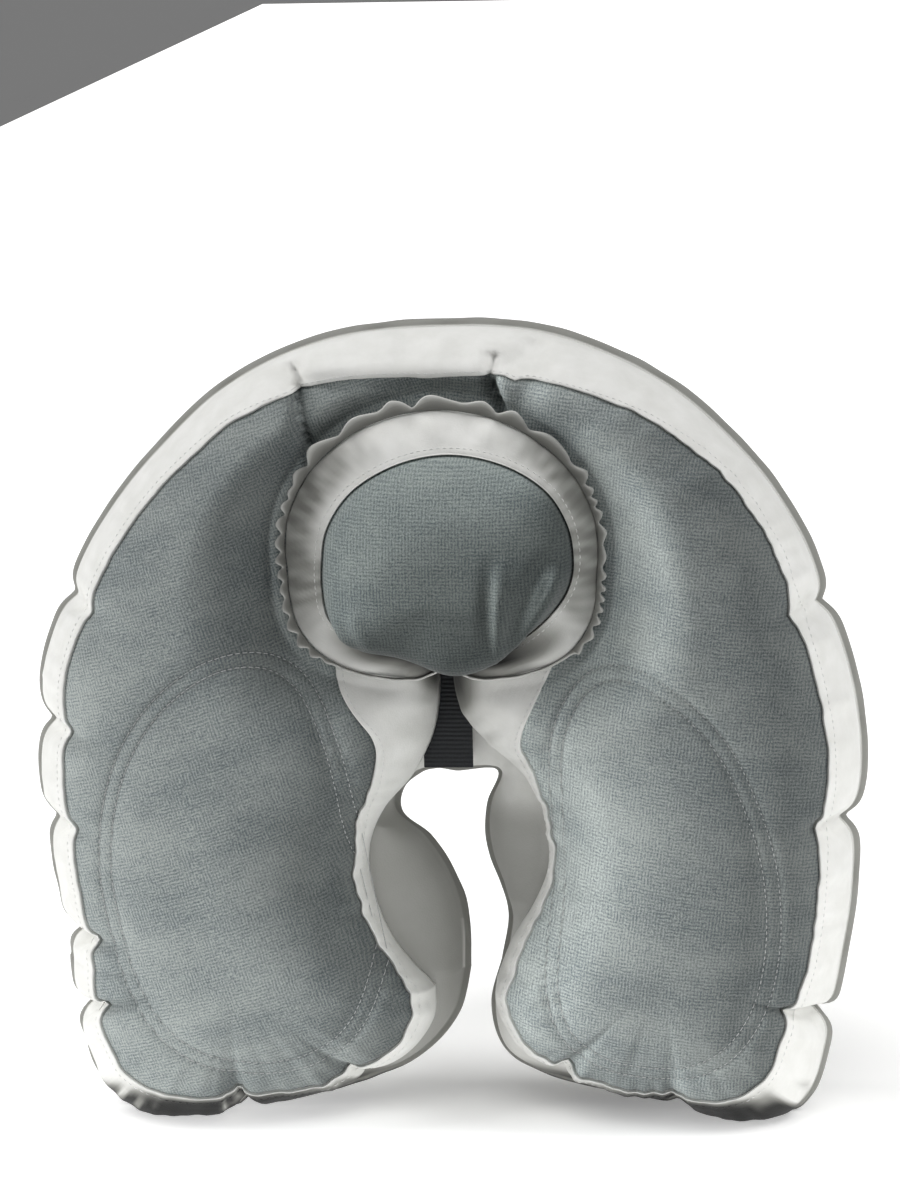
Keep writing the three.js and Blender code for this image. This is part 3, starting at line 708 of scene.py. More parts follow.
def head_point(turn, pad, ring):
    """A point of the cushion: pad runs 0 to 1 over the velour, then ring over the light border."""
    low = smoothstep(0.35, 0.9, -np.sin(turn + 0.12))
    sewn = velour_edge(turn)
    plan = PAD_PEAK + (sewn - PAD_PEAK) * pad[..., None] + (ring_edge(turn) - sewn) * ring[..., None]
    x, z = plan[..., 0], plan[..., 1]
    border_rise = RING_RISE * (1 - 0.6 * low) * (1 - ring**1.7)
    at_edge = math.sqrt(1 - PAD_REACH**PAD_POWER)
    full = (np.sqrt(1 - (pad * PAD_REACH) ** PAD_POWER) - at_edge) / (1 - at_edge)
    rise = border_rise + (PAD_RISE + RING_RISE * 0.6 * low) * np.where(ring > 0, 0, full)
    for fold in FOLDS:
        off, place = to_segment(x, z, fold)
        height, width = fold[4:]
        strength = smoothstep(-0.25, 0.3, place) * smoothstep(1.3, 0.8, place) * smoothstep(1, 0.9, pad)
        rise = rise + height * strength * (bump(off, width) - 0.8 * bump(off - 1.9 * width, width))
    hang = smoothstep(3.3, 3.65, turn) * (1 + 0.9 * bump(turn - 4.75, 0.5)) * smoothstep(5.9, 5.2, turn)
    sag = SAG * hang * smoothstep(1, 0.92, pad) * smoothstep(0.35, 0.88, pad)
    return np.stack([x, HEAD["back"] - HEAD["rim"] - rise, z - sag], axis=-1)


def head_skin(pads, rings):
    """Rings of points round the cushion, with waves in its border, and the normals there."""
    turn, pad, ring = np.broadcast_arrays(turns[:, None], np.array(pads, float), np.array(rings, float))
    points = head_point(turn, pad, ring)
    normal = normals_of(points)
    ripple = 0.9 * HEAD_WAVES[:, None] * bump(ring - 0.62, 0.3) * (ring > 0)
    return points + normal * ripple[..., None], normal


points, normal = head_skin([1], BORDER_RINGS)
to_oval = BORDER_RINGS * distance(ring_edge(turns), velour_edge(turns))[:, None]
lift = FOLD * smoothstep(6, 1, to_oval) - 0.4 * bump(to_oval - STITCH_INSET, 0.9)
head_border = points + normal * (lift * smoothstep(1, 0.9, BORDER_RINGS))[..., None]
points, normal = head_skin([0.996, 0.995, 1, 1], [0, 0, 0, 0.02])
head_edge = points + normal * EDGE_HEIGHTS
head_bed = head_skin([0.94, 0.75, 0.5, 0.25, 0.0], [0])[0] + np.array([0, BED_MIDDLE + 3, 0])
flat = head_border[:, :1].copy()
flat[..., 1] = HEAD["back"]
centre = np.broadcast_to(np.array([HEAD["x"], HEAD["back"], HEAD["z"]]), flat.shape)
head_rings = [centre, flat, head_border, head_edge, head_bed]
head_cloth = cloth_piece("head_cloth", np.concatenate(head_rings, axis=1))

pads = np.array([1, 1, 0.985, 0.97, 0.95, 0.925, 0.9, 0.875, *np.linspace(0.85, 0, 26)])
rings = np.where(np.arange(len(pads)) == 0, UNDER_RING, 0)
points, normal = head_skin(pads, rings)
from_edge = (1 - pads) * PAD_RADIUS + UNDER_FOLD * (1 - rings / UNDER_RING)
dip = 1.3 * np.exp(-from_edge / DIP_REACH)
head_velour = sheet_of_cloth("head_velour_panel", points - normal * dip[None, :, None], VELOUR_THICKNESS)

# %% [markdown]
# The seam allowance round the oval is gathered, because the outline is longer than the seam. It
# stands up in uneven scallops: wide ones over the top, small ones down the sides and almost none at
# the bottom. Each is one beat of a wave whose length drifts, and painted shade greys the cloth,
# darkest at the seam.

# %% Gathered edge
FRILL_COLUMNS = ("turn", "wave", "swing", "width")
FRILL_ZONES = [  # from turn, length of a wave, how far it swings, width of the edge
    (-0.75, 7.5, 1.1, 3.2),
    (0.45, 17.0, 1.7, 4.8),
    (2.65, 7.5, 1.1, 3.2),
    (3.95, 8.0, 0.1, 0.8),
    (2 * math.pi - 0.75, 7.5, 1.1, 3.2),
]
FRILL_ROWS, FRILL_RADIUS, FRILL_THICKNESS = 640, 64.0, 0.9
FRILL_STEPS = (0, 0.2, 0.4, 0.6, 0.8, 1)        # from the seam to the free edge
FRILL_PAINTED_SHADE = [1.4, 1.35, 1.2, 1.0, 0.7, 0.35]  # how grey the cloth is there
STANDS_OFF = 0.3


def zone_value(turn, column):
    """A value of the frill's zones, blended over the joins between them."""
    column = FRILL_COLUMNS.index(column)
    value = FRILL_ZONES[0][column]
    for before, after in zip(FRILL_ZONES, FRILL_ZONES[1:]):
        value = value + (after[column] - before[column]) * smoothstep(-0.12, 0.12, turn - after[0])
    return value


frill_turn = np.linspace(-0.75, 2 * math.pi - 0.75, FRILL_ROWS + 1)[:-1] + 1e-6
frill_mm = frill_turn * FRILL_RADIUS
step_mm = FRILL_RADIUS * 2 * math.pi / FRILL_ROWS
uneven = 1 + 0.3 * waves(frill_mm, 45.0)
beats = np.cumsum(step_mm / (zone_value(frill_turn, "wave") * np.clip(uneven, 0.6, 1.5)))
beats = beats * round(beats[-1]) / beats[-1]
height = np.clip(1 + 0.4 * waves(frill_mm, 31.0), 0.35, 1.8) * zone_value(frill_turn, "swing")
wave = np.cos(2 * np.pi * beats)
scallop = mix(wave, 2 * np.abs(np.cos(np.pi * beats)) - 1, 0.35)
across_mm = zone_value(frill_turn, "width") + height * scallop
seam_line = np.insert(ring_edge(frill_turn), 1, HEAD["back"] - HEAD["rim"] - 0.5, axis=1)
outward = seam_line - np.array([HEAD["x"], seam_line[0, 1], HEAD["z"]])
outward /= np.linalg.norm(outward, axis=1, keepdims=True)
frill_rings = []
for step in FRILL_STEPS:
    reach = STANDS_OFF + (across_mm - STANDS_OFF) * step
    forward = 1.2 * step + 1.1 * height * np.sin(2 * np.pi * beats + 0.7) * step**1.5
    frill_rings.append(seam_line + outward * reach[:, None] + np.outer(-forward, [0, 1, 0]))
frill_points = np.stack(frill_rings, axis=1)
# Painted shade on the frill, darkest at its seam
frill_shade = np.broadcast_to(FRILL_PAINTED_SHADE, frill_points.shape[:2])
frill = sheet_of_cloth("gathered_frill", frill_points, FRILL_THICKNESS, offset=0, edge_share=frill_shade)

# %% [markdown]
# In the slit hangs a flat black tab of webbing. Only its front shows, between the walls of the
# throat. Its top reaches up behind the slit to the underside of the oval cushion, where its black
# stands in for shadow: a painted shadow on a real tab. A bevelled plate is enough for its shape,
# and its finish carries the woven ribs.

# %% Black tab
TAB_CORNER, TAB_SIZE = np.array([-12.0, 0.35, 156.0]), np.array([22.0, 1.2, 47.0])
TAB_ROUNDING = 0.4

middle = Matrix.Translation((Vector(TAB_CORNER + TAB_SIZE / 2) + Vector(SHIFT)) * MM)
shape = bmesh.new()
bmesh.ops.create_cube(shape, size=1, matrix=middle @ Matrix.Diagonal((*TAB_SIZE * MM, 1)))
bmesh.ops.bevel(shape, geom=shape.edges, offset=TAB_ROUNDING * MM, segments=3, profile=0.5, affect="EDGES")
tab = object_from("webbing_tab", shape)

# %% [markdown]
# The light cloth gets painted shade: a painted grey along its seams, and a darker painted shadow
# under the feet, in the slit, under the oval velour and between the arms, where least light reaches
# it. Lamps alone leave these places too light, so every corner keeps how much shade is painted on
# it: 0 is none, 1 is the painted grey of the seams and 2 a painted shadow close to black. It goes
# by the place on the cloth, so it stays there from every side.

# %% Painted shade on the light cloth
# How strong the painted shade and painted shadow are in each place
UNDERSIDE_PAINTED_SHADE, THROAT_PAINTED_SHADE, HEAD_SIDE_PAINTED_SHADE, UNDER_PAD_PAINTED_SHADOW, LOBE_PAINTED_SHADE = 2, 1.9, 0.95, 2, 0.72
THROAT_TOP, LOBE_FRONT_Y = 222, 34


def corner_values(piece, key):
    """A vector for each corner of a piece: its place, "co", or its "normal"."""
    values = np.zeros(len(piece.data.vertices) * 3)
    piece.data.vertices.foreach_get(key, values)
    return values.reshape(-1, 3)


def keep_values(piece, key, values):
    """A number for each corner of a piece, for its finish to read. A higher one stays as it is."""
    attributes = piece.data.attributes
    layer = attributes.get(key) or attributes.new(key, "FLOAT", "POINT")
    now = np.zeros(len(values))
    layer.data.foreach_get("value", now)
    layer.data.foreach_set("value", np.maximum(now, values).astype(np.float32))


def head_painted_shade(x, z):
    """Painted shade on the oval's light border: down its sides, and a painted shadow under the velour that
    hangs over it.
    """
    turn = np.arctan2((z - HEAD["z"]) / HEAD["half_height"], (x - HEAD["x"]) / HEAD["half_width"])
    sewn = velour_edge(turn)
    to_edge = distance(np.stack([x, z], axis=1), sewn) / distance(ring_edge(turn), sewn)
    side = smoothstep(0.3, 0.9, np.abs(np.cos(turn))) * smoothstep(-0.85, -0.3, np.sin(turn))
    # The painted shade on the ring's sides rises and falls round it, like the shade of wrinkles
    mottle = 1 + 0.15 * np.sin(turn * 31 + 2 * np.sin(turn * 9) + 4 * to_edge)
    mottle = mottle + 0.08 * np.sin(turn * 67 - 6 * to_edge)
    turn = turn % (2 * np.pi)
    # Painted shadow under the oval velour, where it hangs over the border
    below = smoothstep(3.6, 4.3, turn) * smoothstep(5.9, 5.1, turn) * smoothstep(0.98, 0.5, to_edge)
    bottom = smoothstep(222, 214, z) * np.where(x < 2, bump(x - 2, 17), bump(x - 2, 34))
    on_side = HEAD_SIDE_PAINTED_SHADE * side * mottle * smoothstep(0.05, 0.6, to_edge)
    return np.maximum(on_side, UNDER_PAD_PAINTED_SHADOW * np.maximum(below, bottom))


def painted_shade_at(place, faces_z, part):
    """How much shade is painted on the cloth of a part, from its places and how far they face up."""
    x, y, z = place.T
    # Painted shadow under the feet and in the walls of the slit, and painted shade on the lobes between the
    # arms
    underside = UNDERSIDE_PAINTED_SHADE * smoothstep(0.38, 0.72, -faces_z) * smoothstep(24, 10, z)
    right_wall = THROAT_PAINTED_SHADE * bump(x - 6, 9) * smoothstep(172, 198, z) * (x > 2)
    left_wall = THROAT_PAINTED_SHADE * bump(x + 3, 6) * smoothstep(186, 200, z) * (x <= 2)
    walls = np.maximum(right_wall, left_wall) * (y < 0) * (z < THROAT_TOP)
    grey = np.maximum(underside, walls)
    if part == "head":
        grey = np.maximum(grey, head_painted_shade(x, z))
    if part == "rear":
        between = smoothstep(52, 40, np.abs(x)) * smoothstep(152, 136, z) * (y < LOBE_FRONT_Y)
        right_lobe = LOBE_PAINTED_SHADE * smoothstep(60, 100, z) * smoothstep(148, 128, z)
        grey = np.maximum(grey, between * np.where(x < 0, LOBE_PAINTED_SHADE, right_lobe))
    return grey


# Each corner of the three light cloths keeps its painted shade
for part, piece in {"front": front_cloth, "rear": rear_cloth, "head": head_cloth}.items():
    grey = painted_shade_at(corner_values(piece, "co") / MM - SHIFT, corner_values(piece, "normal")[:, 2], part)
    keep_values(piece, "edge_share", grey)
    print(part, "cloth: darkest grey", round(float(grey.max()), 2))

# %% [markdown]
# Two rows of quilting run round each arm in an oval, and a row of topstitches follows every
# border. A lockstitch is one thread that lies on the cloth for two millimetres and then dips into
# its hole, so each row is a thin tube that rises and sinks. A ray from the front finds the cloth.
# The threads take the painted shade of the cloth that they lie on, or they would glow in dark places.

# %% Stitches
THREAD_SIDES, THREAD_STEPS = 6, 6
THREAD_HIGH = 0.12  # the middle of the thread over the cloth, between two holes


def tree_of(piece):
    """The faces of a piece, for rays to find."""
    return BVHTree.FromPolygons(
        [vertex.co for vertex in piece.data.vertices],
        [tuple(face.vertices) for face in piece.data.polygons],
    )


def even_places(line, count):
    """Points at even distances along a closed line."""
    line = np.concatenate([line, line[:1]])
    steps = np.concatenate([[0], np.cumsum(distance(line[1:], line[:-1]))])
    places = np.linspace(0, steps[-1], count + 1)[:-1]
    return np.stack([np.interp(places, steps, line[:, k]) for k in range(line.shape[1])], axis=1)


def stitch_row(name, line, tree, part, thread, pitch, low=-0.55):
    """A thread that follows a closed line of x, z points on the front of a piece."""
    count = round(lengths_round(line)[-1] / pitch)
    hits, normals = [], []
    for x, z in even_places(line, count * THREAD_STEPS):
        hit, normal, _, _ = tree.ray_cast(Vector(((x + SHIFT[0]) * MM, -0.2, z * MM)), Vector((0, 1, 0)))
        if hit is not None:
            hits.append(np.array(hit) / MM - SHIFT)
            normals.append(np.array(normal) * (-1 if normal.y > 0 else 1))
    hits, normals = np.array(hits), np.array(normals)
    normals = sum(np.roll(normals, k, axis=0) for k in (-2, -1, 0, 1, 2))
    normals /= np.linalg.norm(normals, axis=1, keepdims=True)
    side = np.cross(normals, np.roll(hits, -1, axis=0) - np.roll(hits, 1, axis=0))
    side /= np.linalg.norm(side, axis=1, keepdims=True) + 1e-9
    beat = 0.5 - 0.5 * np.cos(2 * np.pi * np.arange(len(hits)) / THREAD_STEPS)
    middle = hits + normals * mix(low, THREAD_HIGH, beat**0.6)[:, None]
    turn = np.linspace(0, 2 * np.pi, THREAD_SIDES + 1)[None, :, None]
    ring = np.cos(turn) * side[:, None, :] + np.sin(turn) * normals[:, None, :]
    # Painted shade of the cloth under each point of the thread
    grey = np.repeat(painted_shade_at(hits, normals[:, 2], part)[:, None], THREAD_SIDES + 1, axis=1)
    return cloth_piece(name, middle[:, None, :] + ring * thread / 2, settle=False, edge_share=grey)


border_line = front_rows.plan(across([hem_share - STITCH_INSET * per_mm]))[:, 0]
seams = [stitch_row("border_topstitch", border_line, tree_of(front_cloth), "front", 0.5, 3.0)]
oval_turn = np.linspace(0, 2 * np.pi, 200)[:-1]
stitch_ring = STITCH_INSET / distance(ring_edge(oval_turn), velour_edge(oval_turn))
head_line = head_point(oval_turn, np.ones_like(oval_turn), stitch_ring)[:, [0, 2]]
seams.append(stitch_row("head_topstitch", head_line, tree_of(head_cloth), "head", 0.5, 2.9))
velour_tree = tree_of(velour_face)
for name, oval in ovals.items():
    for row, inwards in (("outer", 0), ("inner", OVAL_STEP)):
        name_of = f"quilting_{name}_{row}"
        seams.append(stitch_row(name_of, oval.row(inwards), velour_tree, "velour", 0.38, 2.8, low=-0.45))

# %% [markdown]
# The velour gets painted light and shade by the way each corner faces: a slope that faces right is
# painted darker and one that faces left lighter, the oval is painted lighter where it faces up, and
# the right arm is painted darker on the whole. Every corner keeps that painted brightness, and its
# distance from the nearest row of quilting, along which painted shade darkens the grooves.

# %% Painted light and shade on the velour
PAINTED_SHADE_DARKEST, FARTHEST = 0.45, 20

places = corner_values(velour_face, "co") / MM - SHIFT
insides = [oval.inside(places[:, 0], places[:, 2]) for oval in ovals.values()]
nearest = np.min([np.minimum(np.abs(inside), np.abs(inside - OVAL_STEP)) for inside in insides], axis=0)
keep_values(velour_face, "quilt_mm", np.minimum(nearest, FARTHEST))

for panel in (velour_face, head_velour):
    faces_x, _, faces_z = corner_values(panel, "normal").T
    # The oval is painted lighter where it faces up; the right arm is painted darker on the whole
    if panel == head_velour:
        right_arm, upwards, whole = 1.0, 1.2, 1.0
    else:
        right_arm = smoothstep(-0.02, 0.04, corner_values(panel, "co")[:, 0])
        upwards, whole = 0.3, mix(1.04, 0.84, right_arm)
    # Painted light from the left: slopes that face left are painted lighter and slopes that face right darker
    to_right, to_left = np.clip(faces_x, 0, None), np.clip(-faces_x, 0, None)
    lean = np.exp(upwards * faces_z - 0.5 * to_right - 1.3 * to_right**2 + mix(0.8, 1.1, right_arm) * to_left)
    # Painted shade on the left arm where it faces up, and a higher bound on the right arm
    brightest = mix(1.04 - 0.4 * np.clip(faces_z, 0, None), 1.6, right_arm)
    painted_light = np.clip(lean * whole, PAINTED_SHADE_DARKEST, brightest)
    keep_values(panel, "painted_light", painted_light)
    print(panel.name, "pile from", round(float(painted_light.min()), 2), "to", round(float(painted_light.max()), 2))

# %% [markdown]
# Finishes are node trees. One function turns an sRGB hex value to linear colour, one adds a node
# with its settings and links, and short ones name the nodes that come up again. Pattern sizes come
# from the real thread and nap.

# %% Helpers for finishes
def linear(hex_value):
    """Linear colour from an sRGB hex value such as "8a918f"."""
    channels = [int(hex_value[k : k + 2], 16) / 255 for k in (0, 2, 4)]
    return [c / 12.92 if c <= 0.04045 else ((c + 0.055) / 1.055) ** 2.4 for c in channels] + [1.0]


def add_node(tree, kind, settings=None, **links):
    """A new node with its settings, and with links or plain values on its inputs."""
    node = tree.nodes.new("ShaderNode" + kind)
    for key, value in (settings or {}).items():
        setattr(node, key, value)
    for key, value in links.items():
        numbered = key[0] == "i" and key[1:].isdigit()
        socket = node.inputs[int(key[1:]) if numbered else key.replace("_", " ")]
        if isinstance(value, bpy.types.NodeSocket):
            tree.links.new(value, socket)
        else:
            socket.default_value = value
    return node


def place_in(tree):
    return add_node(tree, "TexCoord").outputs["Object"]


def kept(tree, key):
    """A number that the corners keep."""
    return add_node(tree, "Attribute", {"attribute_name": key}).outputs["Fac"]


def noise(tree, place, scale, **settings):
    """Uneven blots, smaller for a larger scale."""
    return add_node(tree, "TexNoise", Vector=place, Scale=scale, **settings).outputs["Fac"]


def sums(tree, operation, a, b=0.0, c=0.0):
    return add_node(tree, "Math", {"operation": operation}, i0=a, i1=b, i2=c).outputs[0]


def spread(tree, value, low, high, to_low, to_high):
    """Maps low to high on to another range."""
    return add_node(tree, "MapRange", i0=value, i1=low, i2=high, i3=to_low, i4=to_high).outputs[0]


def between(tree, share, first, second):
    """The colour that is a share of the way from the first to the second."""
    first, second = (linear(colour) if isinstance(colour, str) else colour for colour in (first, second))
    return add_node(tree, "Mix", {"data_type": "RGBA"}, i0=share, i6=first, i7=second).outputs[2]


def new_finish(name):
    finish = bpy.data.materials.new(name)
    finish.use_nodes = True
    tree = finish.node_tree
    tree.nodes.clear()
    shader = add_node(tree, "BsdfPrincipled")
    add_node(tree, "OutputMaterial", Surface=shader.outputs[0])
    return finish, tree, shader


def set_plain(shader, **values):
    for key, value in values.items():
        shader.inputs[key.replace("_", " ")].default_value = value


def dress(tree, shader, colour, height=None, strength=0.0, depth=0.0, **values):
    """Gives a shader its colour, its relief and its plain values."""
    tree.links.new(colour, shader.inputs["Base Color"])
    if height is not None:
        relief = add_node(tree, "Bump", Height=height, Strength=strength, Distance=depth)
        tree.links.new(relief.outputs[0], shader.inputs["Normal"])
    set_plain(shader, **values)


# Near black of the painted shadow in the deepest places
PAINTED_DEEP_SHADOW = "1c1c1b"

# %% [markdown]
# Light cloth is a brushed polyester microfibre in light grey. It is matt, with a faint mottle from
# the brushing, a very fine grain and a trace of sheen where the nap catches light. Where its
# corners keep painted shade, it goes to a painted grey and on to a painted shadow that is almost black.

# %% Brushed microfibre
def brushed_microfibre(name, base, shade, edge):
    finish, tree, shader = new_finish(name)
    place = place_in(tree)
    mottle = noise(tree, place, 70.0, Detail=4.0, Roughness=0.6)
    grain = noise(tree, place, 1400.0, Detail=2.0)
    colour = between(tree, spread(tree, mottle, 0.35, 0.7, 0.0, 1.0), shade, base)
    # Painted shade that the corners keep: up to 1 it goes to the edge colour, a painted grey, and past 1 on
    # to near black
    grey = kept(tree, "edge_share")
    colour = between(tree, grey, colour, edge)
    colour = between(tree, sums(tree, "SUBTRACT", grey, 1.0), colour, PAINTED_DEEP_SHADOW)
    height = sums(tree, "MULTIPLY_ADD", mottle, 1.5, grain)
    dress(tree, shader, colour, height, 0.35, 0.0003,
          Roughness=0.92, Sheen_Weight=0.12, Sheen_Roughness=0.5, Specular_IOR_Level=0.25)
    return finish


# The last colour is the painted grey of the shade
light_cloth = brushed_microfibre("brushed_polyester_microfibre", "f2f2ef", "e9e9e5", "94948f")

# %% [markdown]
# Velour is a knitted cloth with a short pile, which catches light at grazing angles. The knit shows
# through it as courses and ribs about 1.5 mm apart, in patches of one or the other, and stroking
# leaves larger clouds. Along the quilting, painted shade draws a dark line in the grooves.

# %% Grey velour
COURSE, RIB = 0.00155, 0.00145      # the knit's spacing, in metres


def knitted_velour(name, base, dark, quilted):
    finish, tree, shader = new_finish(name)
    # The cloth is cut so that its rows rise to the right on the left arm and fall on the right arm
    split = add_node(tree, "SeparateXYZ", i0=place_in(tree)).outputs
    lean = sums(tree, "MULTIPLY_ADD", sums(tree, "SIGN", split[0]), -0.22, 0.08) if quilted else 0.0
    along_row = sums(tree, "MULTIPLY_ADD", split[2], lean, split[0])
    up_row = sums(tree, "SUBTRACT", split[2], sums(tree, "MULTIPLY", split[0], lean))
    laid = add_node(tree, "CombineXYZ", i0=along_row, i1=split[1], i2=up_row).outputs[0]
    # Courses and ribs are sines that wander, and patches let one or the other show
    wander = noise(tree, laid, 260.0, Detail=2.0)
    patches = noise(tree, laid, 180.0, Detail=2.0)
    knit = []
    courses, ribs = (up_row, COURSE, 6.0, 1.6, -0.4), (along_row, RIB, -6.0, -1.6, 1.2)
    for way, spacing, drift, more, least in (courses, ribs):
        moved = sums(tree, "MULTIPLY", wander, drift)
        line = sums(tree, "SINE", sums(tree, "MULTIPLY_ADD", way, 2 * math.pi / spacing, moved))
        knit.append(sums(tree, "MULTIPLY", line, sums(tree, "MULTIPLY_ADD", patches, more, least)))
    fuzz = noise(tree, laid, 1500.0, Detail=2.0, Roughness=0.6)
    woven = sums(tree, "MULTIPLY_ADD", sums(tree, "ADD", *knit), 0.17, fuzz)
    stroked = add_node(tree, "Mapping", Vector=laid, Scale=(0.3, 1, 1)).outputs[0]
    nap = noise(tree, stroked, 42.0, Detail=4.0, Roughness=0.55)
    fleck = spread(tree, woven, 0.24, 0.76, -0.08, 1.08)
    cloud = spread(tree, nap, 0.35, 0.65, -0.17, 0.17)
    colour = between(tree, sums(tree, "ADD", fleck, cloud), dark, base)
    # Painted light and shade that the corners keep, from the way they face
    painted_light = kept(tree, "painted_light")
    colour = add_node(tree, "VectorMath", {"operation": "SCALE"}, i0=colour, Scale=painted_light).outputs[0]
    height = woven
    if quilted:
        # Painted shade in the grooves of the quilting, within a millimetre of the stitches
        quilt_painted_shade = spread(tree, kept(tree, "quilt_mm"), 0.2, 1.0, 1.0, 0.0)
        colour = between(tree, sums(tree, "MULTIPLY", quilt_painted_shade, 0.4), colour, "3c4142")
        height = sums(tree, "MULTIPLY_ADD", quilt_painted_shade, -1.5, height)
    dress(tree, shader, colour, height, 0.45, 0.00025,
          Roughness=0.95, Sheen_Weight=0.25, Sheen_Roughness=0.35, Specular_IOR_Level=0.15)
    return finish


velour_cloth = knitted_velour("grey_knitted_velour", "b5bbb8", "6e777a", True)
oval_velour_cloth = knitted_velour("grey_knitted_velour_oval", "858c89", "50585a", False)

# %% [markdown]
# The tab is black polyester webbing with ribs woven across it. Polyester thread has a soft gloss,
# and its twist breaks the colour up.

# %% Black webbing and threads
webbing, tree, shader = new_finish("black_ribbed_webbing")
place = place_in(tree)
bands = {"wave_type": "BANDS", "bands_direction": "Z"}
ribs = add_node(tree, "TexWave", bands, Vector=place, Scale=160.0, Distortion=0.6).outputs["Fac"]
colour = between(tree, noise(tree, place, 1200.0), "222324", "34363a")
dress(tree, shader, colour, ribs, 0.7, 0.0003, Roughness=0.7, Specular_IOR_Level=0.3)


def sewing_thread(name, hex_value):
    finish, tree, shader = new_finish(name)
    colour = between(tree, noise(tree, place_in(tree), 2500.0), hex_value, "ffffff")
    # Painted shade: where the cloth below keeps a painted shadow, the thread goes to near black too
    shade = sums(tree, "SUBTRACT", kept(tree, "edge_share"), 0.8)
    dress(tree, shader, between(tree, shade, colour, PAINTED_DEEP_SHADOW), Roughness=0.6, Sheen_Weight=0.2)
    return finish


light_thread = sewing_thread("light_polyester_thread", "c4c4bf")
grey_thread = sewing_thread("grey_polyester_thread", "454b4d")

# %% [markdown]
# Every piece gets its finish and rides on the one body. The cloths stand for the CAD nodes,
# which stay in the model for collision but aren't drawn.

# %% Finishes and bodies
FINISHES = [
    (front_cloth, light_cloth, "light_cloth", "front_cushion"),
    (rear_cloth, light_cloth, "light_cloth", "rear_cushion"),
    (velour_face, velour_cloth, "grey_velour", "velour_face"),
    (head_cloth, light_cloth, "light_cloth", "head_cushion"),
    (head_velour, oval_velour_cloth, "grey_velour", "head_velour"),
    (frill, light_cloth, "light_cloth", "gathered_edge"),
    (tab, webbing, "black_webbing", "flat_tab"),
]
for piece, finish, slot, node in FINISHES:
    piece.data.materials.append(finish)
    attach(piece, "root")
    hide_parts(node)
for seam in seams:
    grey = seam.name.startswith("quilting")
    seam.data.materials.append(grey_thread if grey else light_thread)
    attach(seam, "root")
print(len(FINISHES), "cloths and", len(seams), "threads ride on the body")

# %% [markdown]


# %% [markdown]
# The stage is white paper on a grey floor, under six broad suns from both sides, from above and
# from the front. The paper also glows, which is painted light: its glow grows with the distance
# from the pillow, so it stays dark under the feet and turns plain white farther out.

# %% Floor and light
GLOW_MIDDLE = (0.06, 0.14, 0)
GLOW_FROM, GLOW_TO = 0.09, 0.2      # distance from there over which the glow grows


def stage_plane(name, left, right, front, rear, height, finish_name, hex_value, glow=None):
    """A flat rectangle of the stage, in metres."""
    shape = bmesh.new()
    bmesh.ops.create_grid(shape, x_segments=1, y_segments=1, size=0.5)
    for vertex in shape.verts:
        vertex.co = (mix(left, right, vertex.co.x + 0.5), mix(front, rear, vertex.co.y + 0.5), height)
    plane = object_from(name, shape, smooth=False)
    finish, tree, shader = new_finish(finish_name)
    set_plain(shader, Base_Color=linear(hex_value), Roughness=0.9, Emission_Color=(1, 1, 1, 1))
    # Painted light: the paper glows, less near the pillow than farther out
    if glow:
        away = add_node(tree, "VectorMath", {"operation": "DISTANCE"}, i0=place_in(tree), i1=GLOW_MIDDLE)
        strength = spread(tree, away.outputs["Value"], GLOW_FROM, GLOW_TO, *glow)
        tree.links.new(strength, shader.inputs["Emission Strength"])
    plane.data.materials.append(finish)
    plane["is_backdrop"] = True


stage_plane("paper_sweep", -1.2, 1.2, -0.42, 7, 0, "white_paper_with_painted_glow", "f4f4f3", (0.14, 0.55))
stage_plane("studio_floor", -40, 40, -40, 40, -0.02, "grey_studio_floor", "7c7c7c")

SUNS = [  # name, direction it comes from, strength, width in degrees
    ("top_left_light", (-0.6, -0.1, 0.75), 1.25, 30),
    ("left_light", (-1.0, -0.1, 0.15), 1.5, 40),
    ("right_light", (1.0, -0.1, 0.15), 0.5, 40),
    ("right_front_light", (0.85, -0.5, 0.1), 0.52, 40),
    ("top_right_light", (0.6, -0.1, 0.75), 1.15, 30),
    ("front_light", (0.0, -0.7, 0.7), 0.45, 40),
]
for name, direction, strength, width in SUNS:
    sun = bpy.data.lights.new(name, "SUN")
    sun.energy = strength
    sun.angle = math.radians(width)
    lamp = bpy.data.objects.new(name, sun)
    bpy.context.scene.collection.objects.link(lamp)
    lamp.rotation_mode = "QUATERNION"
    lamp.rotation_quaternion = Vector(direction).to_track_quat("Z", "Y")

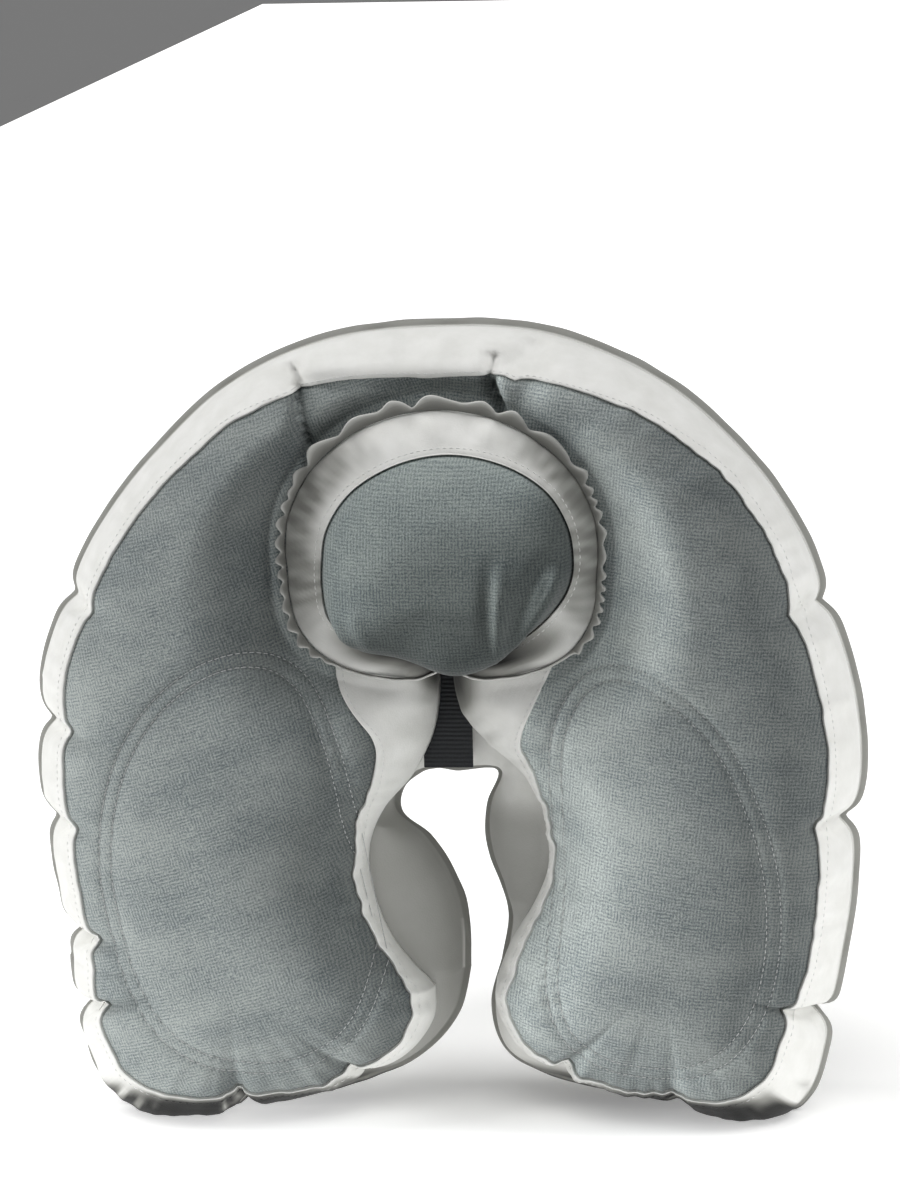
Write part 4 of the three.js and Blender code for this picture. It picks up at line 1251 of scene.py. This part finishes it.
world = bpy.data.worlds.new("studio")
bpy.context.scene.world = world
world.use_nodes = True
sky = world.node_tree.nodes["Background"]
sky.inputs["Color"].default_value = (1, 1, 1, 1)
sky.inputs["Strength"].default_value = 0.03
bpy.context.scene.view_settings.view_transform = "Standard"
print(len(SUNS), "suns")

# %% [markdown]
# The camera stands 2.6 m away, a little to the right of the pillow and above it, as in the photo.
# It is aimed so that the middle of the pillow falls on the same pixel, and tilted a little.

# %% Camera
AZIMUTH, ELEVATION, ROLL = math.radians(7.5), math.radians(11), math.radians(1.4)
DISTANCE, PIXELS = 2.6, 5859.0      # how far away, and how many pixels wide a radian is
IMAGE = (900, 1200)
TARGET, TARGET_PIXEL = Vector((0.878, 8.925, 179)) * MM, (449.5, 717)

back = Vector((
    math.sin(AZIMUTH) * math.cos(ELEVATION),
    -math.cos(AZIMUTH) * math.cos(ELEVATION),
    math.sin(ELEVATION),
))
right = Vector((math.cos(AZIMUTH), math.sin(AZIMUTH), 0))
up = back.cross(right)
right, up = right * math.cos(ROLL) - up * math.sin(ROLL), up * math.cos(ROLL) + right * math.sin(ROLL)
place = TARGET + back * DISTANCE
metre = DISTANCE / PIXELS
off_x, off_z = IMAGE[0] / 2 - TARGET_PIXEL[0], TARGET_PIXEL[1] - IMAGE[1] / 2
aim = TARGET + right * off_x * metre + up * off_z * metre
back = (place - aim).normalized()
right = (right - back * right.dot(back)).normalized()
up = back.cross(right)
lens = bpy.data.cameras.new("camera")
lens.sensor_width = 36
lens.lens = PIXELS * lens.sensor_width / max(IMAGE)
lens.clip_end = 200
camera = bpy.data.objects.new("camera", lens)
bpy.context.scene.collection.objects.link(camera)
turn = Matrix((right, up, back)).transposed().to_4x4()
camera.matrix_world = Matrix.Translation(place) @ turn
bpy.context.scene.camera = camera
print("camera", [round(v, 3) for v in place], "lens", round(lens.lens, 1), "mm")

# %% Measure and finish
seen_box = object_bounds()
sizes = {
    "cad": [list(corner) for corner in cad_box],
    "visual": [list(corner) for corner in seen_box],
}
for name, corners_of in sizes.items():
    low, high = corners_of
    print(name, [round((b - a) * 1000, 1) for a, b in zip(low, high)], "mm")
